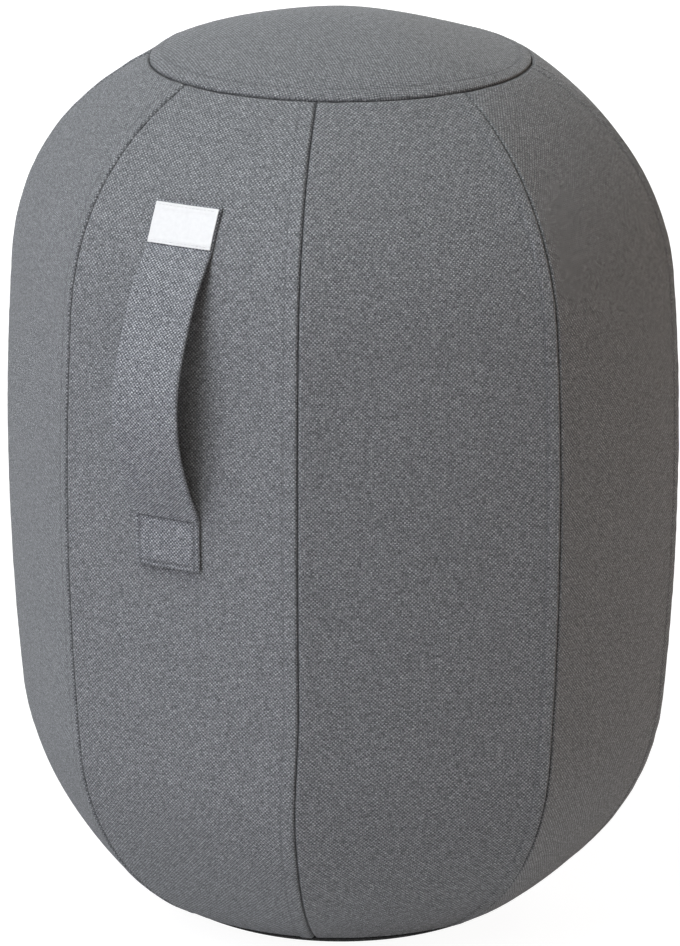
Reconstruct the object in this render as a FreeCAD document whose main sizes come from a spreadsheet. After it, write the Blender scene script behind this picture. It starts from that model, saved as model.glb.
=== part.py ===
import FreeCAD, Part
import math
import os
import Sketcher

Vector = FreeCAD.Vector
Rotation = FreeCAD.Rotation
Placement = FreeCAD.Placement

# Air-filled seat pillar. The origin is the middle of the base on the floor, +Z is up and the
# handle faces -Y. Lengths are in millimetres and angles in degrees.

# Each driving size: its name, its value and what it sets.
DRIVING_SIZES = [
    ("panel_count", 8, "upright panels round the cover"),
    ("seam_radius", 180.0, "radius at the upright seams, where the pillar is widest"),
    ("panel_draw_in", 8.7, "how far a panel's middle lies inside its seams"),
    ("widest_height", 261.5, "height of the widest place"),
    ("upper_side_radius", 1170.0, "bow of the side above the widest place"),
    ("lower_side_radius", 1490.0, "bow of the side below the widest place"),
    ("upper_side_rise", 93.2, "from the widest place up to the upper rounding"),
    ("lower_side_drop", 139.8, "from the widest place down to the lower rounding"),
    ("top_seam_radius", 100.5, "radius of the top panel's seam"),
    ("top_seam_rise", 112.7, "from the start of the upper rounding up to the top panel's seam"),
    ("crown_rise", 20.6, "crown of the top panel above its seam"),
    ("edge_roll_radius", 45.0, "rounding of the top panel towards its seam"),
    ("edge_slope", 40.0, "slope of the top panel at its seam"),
    ("base_seam_radius", 97.5, "radius of the base panel's seam"),
    ("base_seam_height", 13.0, "height of the base panel's seam"),
    ("base_flat_radius", 52.0, "flat middle of the base panel"),
    ("cover_thickness", 1.6, "lined cover fabric"),
    ("seam_clearance", 0.4, "between a round panel and the upright panels"),
    ("bladder_clearance", 0.4, "between the bladder and the cover"),
    ("bladder_wall", 1.2, "bladder skin"),
    ("top_setback", 5.5, "how far the bladder's upper corner stays inside the top seam"),
    ("valve_height", 145.0, "height of the valve at the back"),
    ("valve_inset", 1.4, "how far the valve neck ends below the bladder's skin"),
    ("neck_radius", 11.0, "valve neck outside"),
    ("neck_length", 24.0, "valve neck along its axis"),
    ("neck_recess_radius", 8.5, "recess that the stopper's head sits in"),
    ("neck_recess_depth", 12.0, "depth of that recess"),
    ("air_bore_radius", 4.0, "hole that the stopper closes"),
    ("neck_clearance", 0.05, "neck in the bladder, stopper in the neck"),
    ("plug_head_radius", 7.0, "stopper head"),
    ("plug_head_thickness", 2.0, "stopper head"),
    ("plug_knob_radius", 2.8, "knob that the stopper is pulled by"),
    ("plug_knob_height", 1.6, "that knob above the head"),
    ("plug_stem_length", 11.0, "stopper stem below its head"),
    ("plug_tip_chamfer", 1.2, "lead-in at the stem's end"),
    ("zip_panels", 3, "panels at the back that the zip spans"),
    ("zip_slot_width", 7.2, "opening between panel and base in which the rows lie"),
    ("zip_row_gap", 1.4, "between the two rows of coils"),
    ("zip_row_width", 2.4, "one row across"),
    ("zip_row_height", 1.8, "one row above its tape"),
    ("zip_row_chamfer", 0.5, "eased upper edges of a row"),
    ("zip_tape_thickness", 0.8, "zip tape"),
    ("zip_tape_width", 10.0, "zip tape across, from its row's inner edge"),
    ("zip_tape_clearance", 0.3, "between a tape and the fabric over it"),
    ("stop_length", 4.0, "zip stop along the zip"),
    ("slider_length", 11.0, "slider along the zip"),
    ("slider_width", 8.4, "slider across the zip"),
    ("slider_plate", 1.3, "slider plates"),
    ("slider_post_width", 0.9, "wedge that joins the plates between the rows"),
    ("slider_clearance", 0.35, "slider to rows, tapes, fabric and stops"),
    ("bail_radius", 0.7, "bar on the slider that holds the pull"),
    ("bail_span", 4.4, "free length of that bar"),
    ("bail_leg", 1.1, "leg at each end of that bar"),
    ("pull_clearance", 0.2, "pull to its bar, the legs and the slider"),
    ("pull_eye_wall", 0.9, "pull around its eye"),
    ("pull_length", 9.0, "pull, from its bar to its end"),
    ("pull_width", 5.0, "pull across"),
    ("pull_thickness", 1.4, "pull"),
    ("handle_offset", -4.0, "handle beside its panel's middle line"),
    ("strap_width", 38.0, "handle strap"),
    ("strap_thickness", 3.0, "handle strap, fabric folded double"),
    ("strap_top_rise", 158.0, "upper end of the strap above the widest place"),
    ("strap_span", 137.5, "height between the strap's two sewn ends"),
    ("strap_tab", 27.0, "height of the strap's sewn lower end"),
    ("strap_rise", 22.0, "finger room between the strap and the panel's widest middle"),
    ("strap_upper_lean", 39.0, "strap against the upright where it leaves its upper end"),
    ("strap_lower_lean", 31.0, "strap against the upright where it nears its lower end"),
    ("strap_upper_bend", 74.0, "rounding of the arch, upper half"),
    ("strap_lower_bend", 96.0, "rounding of the arch, lower half"),
    ("strap_foot_bend", 9.0, "rounding where the strap meets the panel"),
    ("sewn_clearance", 0.1, "strap on its panel, label on the strap"),
    ("label_width", 37.0, "label across"),
    ("label_thickness", 0.8, "woven label with its folded ends"),
    ("label_height", 19.1, "label from its lower to its upper edge"),
    ("label_top_margin", 0.6, "strap that shows above the label"),
    ("label_low_margin", 1.8, "label above the place where the strap leaves the panel"),
]

doc = FreeCAD.newDocument("WobbleStool")
sheet = doc.addObject("Spreadsheet::Sheet", "Sizes")
for line, (alias, value, meaning) in enumerate(DRIVING_SIZES, start=1):
    sheet.set(f"A{line}", alias)
    sheet.set(f"B{line}", str(value))
    sheet.set(f"C{line}", meaning)
    sheet.setAlias(f"B{line}", alias)
doc.recompute()


# A number together with the expression that binds it to the sheet.
class Size:
    def __init__(self, value, text):
        self.value = value
        self.text = text

    def __add__(self, other):
        other = as_size(other)
        return Size(self.value + other.value, f"({self.text} + {other.text})")

    def __sub__(self, other):
        other = as_size(other)
        return Size(self.value - other.value, f"({self.text} - {other.text})")

    def __mul__(self, other):
        other = as_size(other)
        return Size(self.value * other.value, f"({self.text} * {other.text})")

    def __truediv__(self, other):
        other = as_size(other)
        return Size(self.value / other.value, f"({self.text} / {other.text})")

    def __neg__(self):
        return Size(-self.value, f"(0 - {self.text})")


def as_size(item):
    return item if isinstance(item, Size) else Size(float(item), f"({float(item)!r})")


def size(alias):
    return Size(float(sheet.get(alias)), f"Sizes.{alias}")


def cosine(angle):
    return Size(math.cos(math.radians(angle.value)), f"cos({angle.text})")


def sine(angle):
    return Size(math.sin(math.radians(angle.value)), f"sin({angle.text})")


# The angle, in degrees, of a slope that rises so much over a run.
def slope_angle(rise, run):
    return Size(math.degrees(math.atan2(rise.value, run.value)), f"atan2({rise.text}; {run.text})")


panel_angle = as_size(360) / size("panel_count")
cover = size("cover_thickness")
seam_gap = size("seam_clearance")
upper_shoulder_height = size("widest_height") + size("upper_side_rise")
lower_shoulder_height = size("widest_height") - size("lower_side_drop")
top_seam_height = upper_shoulder_height + size("top_seam_rise")
crown_height = top_seam_height + size("crown_rise")


# Points and arcs in a half section, where x is the distance from the upright axis and y the height.
def point(x, y):
    return Vector(x, y, 0)


def direction(angle):
    return point(math.cos(math.radians(angle)), math.sin(math.radians(angle)))


# An arc that starts at one point along a direction and ends at another point.
class TangentArc:
    def __init__(self, start, heading, end):
        chord = end - start
        chord_angle = math.degrees(math.atan2(chord.y, chord.x))
        turn = 2 * ((chord_angle - heading + 180) % 360 - 180)
        self.radius = chord.Length / (2 * math.sin(math.radians(turn / 2)))
        self.start = start
        self.end = end
        self.heading = heading
        self.end_heading = heading + turn
        self.centre = start + direction(heading + 90) * self.radius


def circle_arc(centre, start, end):
    radius = (start - centre).Length
    first = math.atan2(start.y - centre.y, start.x - centre.x)
    last = math.atan2(end.y - centre.y, end.x - centre.x)
    return Part.ArcOfCircle(Part.Circle(centre, Vector(0, 0, 1), radius), first, last)


def towards(start, target, distance):
    step = target - start
    step.normalize()
    return start + step * distance


# The upright section of the pillar: a lower rounding, two slightly bowed sides that meet at the
# widest place, and an upper rounding. All run anticlockwise from the base to the top.
class Meridian:
    def __init__(self, radius, base_point, top_point, inset=0.0):
        self.widest = point(radius - inset, size("widest_height").value)
        self.lower_radius = size("lower_side_radius").value - inset
        self.upper_radius = size("upper_side_radius").value - inset
        self.lower_centre = self.widest - point(self.lower_radius, 0)
        self.upper_centre = self.widest - point(self.upper_radius, 0)
        drop = self.widest.y - lower_shoulder_height.value
        rise = upper_shoulder_height.value - self.widest.y
        lower_angle = math.degrees(math.asin(drop / self.lower_radius))
        upper_angle = math.degrees(math.asin(rise / self.upper_radius))
        self.lower_joint = self.lower_centre + direction(-lower_angle) * self.lower_radius
        self.upper_joint = self.upper_centre + direction(upper_angle) * self.upper_radius
        lower = TangentArc(self.lower_joint, 270 - lower_angle, base_point)
        self.upper = TangentArc(self.upper_joint, 90 + upper_angle, top_point)
        self.lower_shoulder_centre = lower.centre
        self.lower_shoulder_radius = abs(lower.radius)
        self.lower_slope = lower.end_heading - 180
        self.base = base_point
        self.top = top_point

    # Distance of the outside from the axis at a height.
    def side_at(self, height):
        if height < self.lower_joint.y:
            centre, radius = self.lower_shoulder_centre, self.lower_shoulder_radius
        elif height < self.widest.y:
            centre, radius = self.lower_centre, self.lower_radius
        elif height < self.upper_joint.y:
            centre, radius = self.upper_centre, self.upper_radius
        else:
            centre, radius = self.upper.centre, self.upper.radius
        return centre.x + math.sqrt(radius ** 2 - (height - centre.y) ** 2)


# Helpers for sketches and bodies.
def origin_plane(body, role):
    return [feature for feature in body.Origin.OriginFeatures if feature.Role == role][0]


def new_body(label):
    body = doc.addObject("PartDesign::Body", label)
    body.Label = label
    return body


def new_sketch(body, name, role="XZ_Plane", turn=0.0):
    sketch = body.newObject("Sketcher::SketchObject", f"{body.Label}_{name}")
    sketch.AttachmentSupport = [(origin_plane(body, role), "")]
    sketch.MapMode = "FlatFace"
    sketch.AttachmentOffset = Placement(Vector(), Rotation(Vector(0, 1, 0), turn))
    return sketch


def constrain(sketch, kind, *items, bound=None):
    values = list(items)
    if bound is not None:
        values.append(bound.value)
    index = sketch.addConstraint(Sketcher.Constraint(kind, *values))
    if bound is not None:
        sketch.setExpression(f"Constraints[{index}]", bound.text)


# Ties a corner of the sketch to a place given from the sketch's origin.
def pin(sketch, edge, end, x=None, y=None):
    for kind, axis, place in (("DistanceX", -2, x), ("DistanceY", -1, y)):
        if place is None:
            continue
        if place.value == 0:
            constrain(sketch, "PointOnObject", edge, end, axis)
        elif place.value > 0:
            constrain(sketch, kind, -1, 1, edge, end, bound=place)
        else:
            constrain(sketch, kind, edge, end, -1, 1, bound=-place)


# Adds edges end to end and closes them. The joints named in smooth are tangent ones.
def closed_outline(sketch, edges, smooth=()):
    for edge in edges:
        sketch.addGeometry(edge, False)
    for one in range(len(edges)):
        two = (one + 1) % len(edges)
        ends = [(a, b) for a in (1, 2) for b in (1, 2)]
        near = min(ends, key=lambda pair: (sketch.getPoint(one, pair[0])
                                           - sketch.getPoint(two, pair[1])).Length)
        kind = "Tangent" if one in smooth else "Coincident"
        constrain(sketch, kind, one, near[0], two, near[1])


# A closed outline of straight edges whose corners all have bound places.
def polygon(sketch, corners):
    places = [point(x.value, y.value) for x, y in corners]
    edges = [Part.LineSegment(places[i], places[(i + 1) % len(places)]) for i in range(len(places))]
    closed_outline(sketch, edges)
    for index, (x, y) in enumerate(corners):
        pin(sketch, index, 1, x, y)


def revolve(body, sketch, kind="Revolution", angle=as_size(360)):
    feature = body.newObject(f"PartDesign::{kind}", f"{body.Label}_{kind}")
    feature.Profile = sketch
    feature.ReferenceAxis = (sketch, ["V_Axis"])
    feature.Midplane = True
    feature.Angle = angle.value
    feature.setExpression("Angle", angle.text)
    sketch.Visibility = False
    return feature


# Where the round seams lie. The zip lies in the slope at which the base panel ends.
base_seam = (size("base_seam_radius"), size("base_seam_height"))
top_seam = (size("top_seam_radius"), top_seam_height)
zip_slope = slope_angle(base_seam[1], base_seam[0] - size("base_flat_radius")) * 2


# A place beside the base seam: along the zip's slope, and outward from it.
def zip_point(across, outward):
    x = base_seam[0] + as_size(across) * cosine(zip_slope) + as_size(outward) * sine(zip_slope)
    y = base_seam[1] + as_size(across) * sine(zip_slope) - as_size(outward) * cosine(zip_slope)
    return x, y


def as_point(place):
    return point(place[0].value, place[1].value)


half_slot = size("zip_slot_width") / 2
middle_radius = size("seam_radius") - size("panel_draw_in")
middle_line = Meridian(middle_radius.value, as_point(base_seam), as_point(top_seam))
zip_line = Meridian(middle_radius.value, as_point(zip_point(half_slot, 0)), as_point(top_seam))
base_edge = (base_seam[0] - seam_gap, base_seam[1])
base_bend = TangentArc(point(size("base_flat_radius").value, 0), 0, as_point(base_edge))


# One upright panel: the sections at its two seams and the flatter one at its middle, lofted.
# At the back the panels over the zip end short of the base seam.
def panel_section(body, name, turn, radius, base_end):
    line = Meridian(radius.value, as_point(base_end), as_point(top_seam))
    sketch = new_sketch(body, name, turn=turn)
    depth = cover.value
    stations = [(line.lower_shoulder_centre, line.base, line.lower_joint),
                (line.lower_centre, line.lower_joint, line.widest),
                (line.upper_centre, line.widest, line.upper_joint),
                (line.upper.centre, line.upper_joint, line.top)]
    outer = [circle_arc(centre, start, end) for centre, start, end in stations]
    inner = [circle_arc(centre, towards(start, centre, depth), towards(end, centre, depth))
             for centre, start, end in reversed(stations)]
    top_end = Part.LineSegment(line.top, towards(line.top, line.upper.centre, depth))
    low_end = Part.LineSegment(towards(line.base, line.lower_shoulder_centre, depth), line.base)
    closed_outline(sketch, outer + [top_end] + inner + [low_end], smooth=(0, 1, 2, 5, 6, 7))
    arc_start, arc_end, arc_centre = 1, 2, 3
    pin(sketch, 0, arc_start, *base_end)
    pin(sketch, 0, arc_end, y=lower_shoulder_height)
    pin(sketch, 1, arc_end, radius, size("widest_height"))
    pin(sketch, 1, arc_centre, y=size("widest_height"))
    pin(sketch, 2, arc_end, y=upper_shoulder_height)
    pin(sketch, 3, arc_end, *top_seam)
    constrain(sketch, "Radius", 1, bound=size("lower_side_radius"))
    constrain(sketch, "Radius", 2, bound=size("upper_side_radius"))
    constrain(sketch, "Radius", 7, bound=size("lower_side_radius") - cover)
    for outside, inside in ((0, 8), (1, 7), (2, 6), (3, 5)):
        constrain(sketch, "Coincident", outside, arc_centre, inside, arc_centre)
    constrain(sketch, "PointOnObject", 3, arc_centre, 4)
    constrain(sketch, "PointOnObject", 0, arc_centre, 9)
    return sketch


def is_zip_panel(index):
    count = int(size("panel_count").value)
    span = int(size("zip_panels").value)
    first = (count - span + 1) // 2
    return first <= index < first + span


def cover_panel(index):
    body = new_body(f"cover_panel_{index + 1}")
    base_end = zip_point(half_slot, 0) if is_zip_panel(index) else base_seam
    half = panel_angle.value / 2
    seam = size("seam_radius")
    sections = [panel_section(body, "first_seam", -half, seam, base_end),
                panel_section(body, "middle", 0.0, middle_radius, base_end),
                panel_section(body, "second_seam", half, seam, base_end)]
    loft = body.newObject("PartDesign::AdditiveLoft", f"{body.Label}_loft")
    loft.Profile = sections[0]
    loft.Sections = sections[1:]
    loft.Ruled = False
    body.Placement = Placement(Vector(), Rotation(Vector(0, 0, 1), panel_angle.value * index - 90))
    return body


# The round top panel: a shallow dome that rolls over to its seam. The dome's radius follows from
# the crown's rise, and from the rounding and the slope at the seam.
def top_panel():
    body = new_body("top_panel")
    sketch = new_sketch(body, "section")
    depth = cover.value
    roll = size("edge_roll_radius")
    edge_slope = size("edge_slope")
    edge = (top_seam[0] - seam_gap, top_seam[1])
    rim = as_point(edge)
    roll_centre = rim - direction(90 - edge_slope.value) * roll.value
    run = rim.x - roll.value * math.sin(math.radians(edge_slope.value))
    drop = size("crown_rise").value - roll.value * (1 - math.cos(math.radians(edge_slope.value)))
    joint_slope = 2 * math.atan2(drop, run)
    dome = run / math.sin(joint_slope) + roll.value
    apex = point(0, crown_height.value)
    centre = apex - point(0, dome)
    joint = towards(centre, roll_centre, dome)
    low_apex = apex - point(0, depth)
    low_joint = towards(joint, centre, depth)
    low_rim = towards(rim, roll_centre, depth)
    edges = [circle_arc(roll_centre, rim, joint), circle_arc(centre, joint, apex),
             Part.LineSegment(apex, low_apex), circle_arc(centre, low_joint, low_apex),
             circle_arc(roll_centre, low_rim, low_joint), Part.LineSegment(low_rim, rim)]
    closed_outline(sketch, edges, smooth=(0, 3))
    pin(sketch, 0, 1, *edge)
    pin(sketch, 1, 2, as_size(0), crown_height)
    pin(sketch, 1, 3, as_size(0))
    constrain(sketch, "Radius", 0, bound=roll)
    constrain(sketch, "Coincident", 1, 3, 3, 3)
    constrain(sketch, "Coincident", 0, 3, 4, 3)
    constrain(sketch, "Vertical", 2)
    constrain(sketch, "DistanceY", 2, 2, 2, 1, bound=cover)
    constrain(sketch, "PointOnObject", 0, 3, 5)
    revolve(body, sketch)
    return body


# The base panel: flat in the middle, rounded up to its seam, and cut back along the zip.
def base_panel():
    body = new_body("base_panel")
    sketch = new_sketch(body, "section")
    depth = cover.value
    flat_end, rim, centre = base_bend.start, base_bend.end, base_bend.centre
    middle = point(0, 0)
    inner_rim = towards(rim, centre, depth)
    inner_flat = flat_end + point(0, depth)
    edges = [Part.LineSegment(middle, flat_end), circle_arc(centre, flat_end, rim),
             Part.LineSegment(rim, inner_rim), circle_arc(centre, inner_flat, inner_rim),
             Part.LineSegment(inner_flat, point(0, depth)),
             Part.LineSegment(point(0, depth), middle)]
    closed_outline(sketch, edges, smooth=(0, 3))
    pin(sketch, 0, 1, as_size(0), as_size(0))
    pin(sketch, 0, 2, size("base_flat_radius"), as_size(0))
    pin(sketch, 1, 2, *base_edge)
    constrain(sketch, "Coincident", 1, 3, 3, 3)
    constrain(sketch, "PointOnObject", 1, 3, 2)
    constrain(sketch, "Vertical", 5)
    constrain(sketch, "DistanceY", 5, 2, 5, 1, bound=cover)
    revolve(body, sketch)
    doc.recompute()
    cutter = new_sketch(body, "zip_edge")
    polygon(cutter, zip_block(-half_slot, cover * 4, -(cover * 4), cover * 4))
    revolve(body, cutter, "Groove", zip_angle)
    body.Placement = back_placement()
    return body


# A four-cornered section given across and outward of the zip's line.
def zip_block(left, right, low, high):
    return [zip_point(left, low), zip_point(right, low), zip_point(right, high),
            zip_point(left, high)]


def turned(degrees):
    return Placement(Vector(), Rotation(Vector(0, 0, 1), degrees))


def back_placement():
    return turned(90)


zip_angle = panel_angle * size("zip_panels")
stop_angle = size("stop_length") / size("base_seam_radius") * (180 / math.pi)
slider_angle = size("slider_length") / size("base_seam_radius") * (180 / math.pi)
clear_angle = size("slider_clearance") / size("base_seam_radius") * (180 / math.pi)
half_gap = size("zip_row_gap") / 2
row_foot = -(cover + size("zip_tape_clearance"))
row_top = row_foot + size("zip_row_height")
tape_foot = row_foot - size("zip_tape_thickness")
slider_half = size("slider_width") / 2
lower_plate_top = tape_foot - size("slider_clearance") * 3
lower_plate_foot = lower_plate_top - size("slider_plate")


# The air-tight bladder: a hollow body of revolution just inside the panels' middles. Its lower
# corner stays inside the zip's slider, also where the fabric's slope differs from the zip's.
def bladder_section(body, name, inset):
    gap = cover + size("bladder_clearance") + inset
    lean = abs(middle_line.lower_slope - zip_slope.value)
    base_corner = zip_point(0, lower_plate_foot - size("slider_clearance") - gap
                            - slider_half * math.tan(math.radians(lean)))
    top_lean = (middle_line.upper.end_heading - size("edge_slope").value) / 2
    setback = size("top_setback") + inset
    top_corner = (top_seam[0] - setback * math.cos(math.radians(top_lean)),
                  top_seam[1] - setback * math.sin(math.radians(top_lean)))
    line = Meridian(middle_radius.value, as_point(base_corner), as_point(top_corner), gap.value)
    floor = gap
    apex = point(0, (crown_height - gap).value)
    bend_radius = (base_corner[1] - floor) / (as_size(1) - cosine(zip_slope))
    flat = base_corner[0] - bend_radius * sine(zip_slope)
    flat_end = point(flat.value, floor.value)
    bend = TangentArc(flat_end, 0, as_point(base_corner))
    half_chord = (as_point(top_corner) - apex).Length / 2
    sag = apex.y - top_corner[1].value
    dome_centre = apex - point(0, 2 * half_chord ** 2 / sag)
    edges = [Part.LineSegment(point(0, floor.value), flat_end),
             circle_arc(bend.centre, flat_end, bend.end),
             circle_arc(line.lower_shoulder_centre, line.base, line.lower_joint),
             circle_arc(line.lower_centre, line.lower_joint, line.widest),
             circle_arc(line.upper_centre, line.widest, line.upper_joint),
             circle_arc(line.upper.centre, line.upper_joint, line.top),
             circle_arc(dome_centre, line.top, apex),
             Part.LineSegment(apex, point(0, floor.value))]
    sketch = new_sketch(body, name)
    closed_outline(sketch, edges, smooth=(0, 2, 3, 4))
    pin(sketch, 0, 1, as_size(0), floor)
    pin(sketch, 0, 2, flat, floor)
    pin(sketch, 1, 2, *base_corner)
    pin(sketch, 2, 2, y=lower_shoulder_height)
    pin(sketch, 3, 2, middle_radius - gap, size("widest_height"))
    pin(sketch, 3, 3, y=size("widest_height"))
    pin(sketch, 4, 2, y=upper_shoulder_height)
    pin(sketch, 5, 2, *top_corner)
    pin(sketch, 6, 2, as_size(0), crown_height - gap)
    pin(sketch, 6, 3, as_size(0))
    constrain(sketch, "Radius", 3, bound=size("lower_side_radius") - gap)
    constrain(sketch, "Radius", 4, bound=size("upper_side_radius") - gap)
    return sketch, line


def air_bladder():
    body = new_body("air_bladder")
    skin, outside = bladder_section(body, "skin", as_size(0))
    revolve(body, skin)
    doc.recompute()
    hollow, _ = bladder_section(body, "hollow", size("bladder_wall"))
    revolve(body, hollow, "Groove")
    doc.recompute()
    neck_hole = new_sketch(body, "neck_hole", "YZ_Plane")
    neck_hole.addGeometry(Part.Circle(point(0, size("valve_height").value), Vector(0, 0, 1),
                                      size("neck_radius").value), False)
    pin(neck_hole, 0, 3, as_size(0), size("valve_height"))
    constrain(neck_hole, "Radius", 0, bound=size("neck_radius") + size("neck_clearance"))
    pocket = body.newObject("PartDesign::Pocket", "neck_pocket")
    pocket.Profile = neck_hole
    pocket.Type = "ThroughAll"
    pocket.Reversed = True
    body.Placement = back_placement()
    return body, outside


# The neck and its stopper are turned about +Z and then laid along +Y at the back of the bladder,
# whose skin covers the neck's lower and upper edges too.
def valve_placement(outside):
    edges = [size("valve_height").value + side * size("neck_radius").value for side in (-1, 1)]
    reach = min(outside.side_at(height) for height in edges) - size("valve_inset").value
    return Placement(Vector(0, reach, size("valve_height").value), Rotation(Vector(1, 0, 0), -90))


def valve_seat(place):
    body = new_body("valve_seat")
    sketch = new_sketch(body, "section")
    bore = size("air_bore_radius")
    recess = size("neck_recess_radius")
    floor = -size("neck_recess_depth")
    foot = -size("neck_length")
    mouth = as_size(0)
    polygon(sketch, [(bore, foot), (size("neck_radius"), foot), (size("neck_radius"), mouth),
                     (recess, mouth), (recess, floor), (bore, floor)])
    revolve(body, sketch)
    body.Placement = place
    return body


def valve_plug(place):
    body = new_body("valve_plug")
    sketch = new_sketch(body, "section")
    axis = as_size(0)
    stem = size("air_bore_radius") - size("neck_clearance")
    tip = size("plug_tip_chamfer")
    under_head = size("neck_clearance") - size("neck_recess_depth")
    head_top = under_head + size("plug_head_thickness")
    knob_top = head_top + size("plug_knob_height")
    stem_end = under_head - size("plug_stem_length")
    polygon(sketch, [(axis, stem_end), (stem - tip, stem_end), (stem, stem_end + tip),
                     (stem, under_head), (size("plug_head_radius"), under_head),
                     (size("plug_head_radius"), head_top), (size("plug_knob_radius"), head_top),
                     (size("plug_knob_radius"), knob_top), (axis, knob_top)])
    revolve(body, sketch)
    body.Placement = place
    return body


# A band round the back, swept about the upright axis.
def zip_band(label, corners, angle):
    body = new_body(label)
    sketch = new_sketch(body, "section")
    polygon(sketch, corners)
    revolve(body, sketch, angle=angle)
    body.Placement = back_placement()
    return body


# One row of coils, on the upper (side 1) or lower (side -1) tape.
def zip_row(label, side):
    near = half_gap * side
    far = (half_gap + size("zip_row_width")) * side
    ease = size("zip_row_chamfer")
    corners = [zip_point(near, row_foot), zip_point(far, row_foot),
               zip_point(far, row_top - ease), zip_point(far - ease * side, row_top),
               zip_point(near + ease * side, row_top), zip_point(near, row_top - ease)]
    return zip_band(label, corners, zip_angle - stop_angle * 2)


# The far edge of a tape: a distance along the rounded fabric, and inside it. Side 1 goes up the
# panels and side -1 in along the base.
def under_fabric(start, centre, side, distance, inset):
    spoke = start - centre
    turn = side * math.degrees(distance / spoke.Length)
    return centre + direction(math.degrees(math.atan2(spoke.y, spoke.x)) + turn) \
        * (spoke.Length - inset)


# A zip tape is flat under its row, and runs from there to a place under its own fabric.
def zip_tape(label, side, start, centre, distance):
    near = half_gap * side
    knee = (half_gap + size("zip_row_width")) * side
    inset = (cover + size("zip_tape_clearance")).value
    far = [under_fabric(start, centre, side, distance.value, depth)
           for depth in (inset + size("zip_tape_thickness").value, inset)]
    corners = [zip_point(near, tape_foot), zip_point(knee, tape_foot),
               *[(as_size(place.x), as_size(place.y)) for place in far],
               zip_point(knee, row_foot), zip_point(near, row_foot)]
    return zip_band(label, corners, zip_angle)


def zip_stops():
    width = half_gap + size("zip_row_width")
    pair = []
    for side, name in ((1, "left_stop"), (-1, "right_stop")):
        body = zip_band(name,
                        zip_block(-width, width, row_foot, row_top), stop_angle)
        body.Placement = turned(90 + side * (zip_angle.value - stop_angle.value) / 2)
        pair.append(body)
    group = doc.addObject("Part::Compound", "zip_stops")
    group.Links = pair
    group.Label = "zip_stops"
    return group


# The slider: a plate over the rows and one under the tapes, joined by the wedge between the rows,
# with a bar on two legs for the pull. It rests at the zip's closed end.
upper_plate_foot = row_top + size("slider_clearance")
upper_plate_top = upper_plate_foot + size("slider_plate")
eye_radius = size("bail_radius") + size("pull_clearance")
bar_height = upper_plate_top + eye_radius + size("pull_eye_wall") + size("pull_clearance")
rest_angle = 90 - (zip_angle / 2 - stop_angle - slider_angle / 2 - clear_angle).value


def tilted_placement(across, outward):
    place = as_point(zip_point(across, outward))
    tilt = Rotation(Vector(0, 1, 0), -zip_slope.value)
    return turned(rest_angle) * Placement(Vector(place.x, 0, place.y), tilt)


def zip_slider():
    body = new_body("zip_slider")
    sketch = new_sketch(body, "section")
    post = size("slider_post_width") / 2
    polygon(sketch, [zip_point(-slider_half, lower_plate_foot),
                     zip_point(slider_half, lower_plate_foot),
                     zip_point(slider_half, lower_plate_top), zip_point(post, lower_plate_top),
                     zip_point(post, upper_plate_foot), zip_point(slider_half, upper_plate_foot),
                     zip_point(slider_half, upper_plate_top),
                     zip_point(-slider_half, upper_plate_top),
                     zip_point(-slider_half, upper_plate_foot), zip_point(-post, upper_plate_foot),
                     zip_point(-post, lower_plate_top), zip_point(-slider_half, lower_plate_top)])
    revolve(body, sketch, angle=slider_angle)
    doc.recompute()
    bail = new_sketch(body, "bail")
    inner = size("bail_span") / 2
    outer = inner + size("bail_leg")
    sunk = upper_plate_top - size("slider_plate") / 2
    under_bar = bar_height - size("bail_radius")
    over_bar = bar_height + size("bail_radius")
    polygon(bail, [zip_point(-outer, sunk), zip_point(-inner, sunk), zip_point(-inner, under_bar),
                   zip_point(inner, under_bar), zip_point(inner, sunk), zip_point(outer, sunk),
                   zip_point(outer, over_bar), zip_point(-outer, over_bar)])
    pad = body.newObject("PartDesign::Pad", "bail_pad")
    pad.Profile = bail
    pad.Midplane = True
    pad.Length = size("bail_radius").value * 2
    pad.setExpression("Length", "Sizes.bail_radius * 2")
    body.Placement = turned(rest_angle)
    return body


# The pull lies along the zip at rest, with its eye round the slider's bar.
def zip_pull():
    eye_outer = eye_radius + size("pull_eye_wall")
    eye_width = size("bail_span") - size("pull_clearance") * 2
    shoulder = size("slider_plate") + eye_outer
    half_thick = size("pull_thickness") / 2
    barrel = Part.makeCylinder(eye_outer.value, eye_width.value,
                               Vector(-eye_width.value / 2, 0, 0), Vector(1, 0, 0))
    neck = Part.makeBox(eye_width.value, shoulder.value, half_thick.value * 2,
                        Vector(-eye_width.value / 2, -shoulder.value, -half_thick.value))
    blade_length = size("pull_length") - shoulder
    width = size("pull_width").value
    blade = Part.makeBox(width, blade_length.value, half_thick.value * 2,
                         Vector(-width / 2, -size("pull_length").value, -half_thick.value))
    corners = [edge for edge in blade.Edges
               if abs(edge.Vertexes[0].X - edge.Vertexes[1].X) < 1e-6
               and abs(edge.Vertexes[0].Y - edge.Vertexes[1].Y) < 1e-6
               and edge.Vertexes[0].Y < -size("pull_length").value + 1e-6]
    blade = blade.makeFillet(width / 3, corners)
    bore = Part.makeCylinder(eye_radius.value * math.sqrt(2), eye_width.value * 2,
                             Vector(-eye_width.value, 0, 0), Vector(1, 0, 0))
    pull = doc.addObject("Part::Feature", "zip_pull")
    pull.Shape = barrel.fuse([neck, blade]).cut(bore).removeSplitter()
    pull.Label = "zip_pull"
    pull.Placement = tilted_placement(0, bar_height)
    return pull


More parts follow.
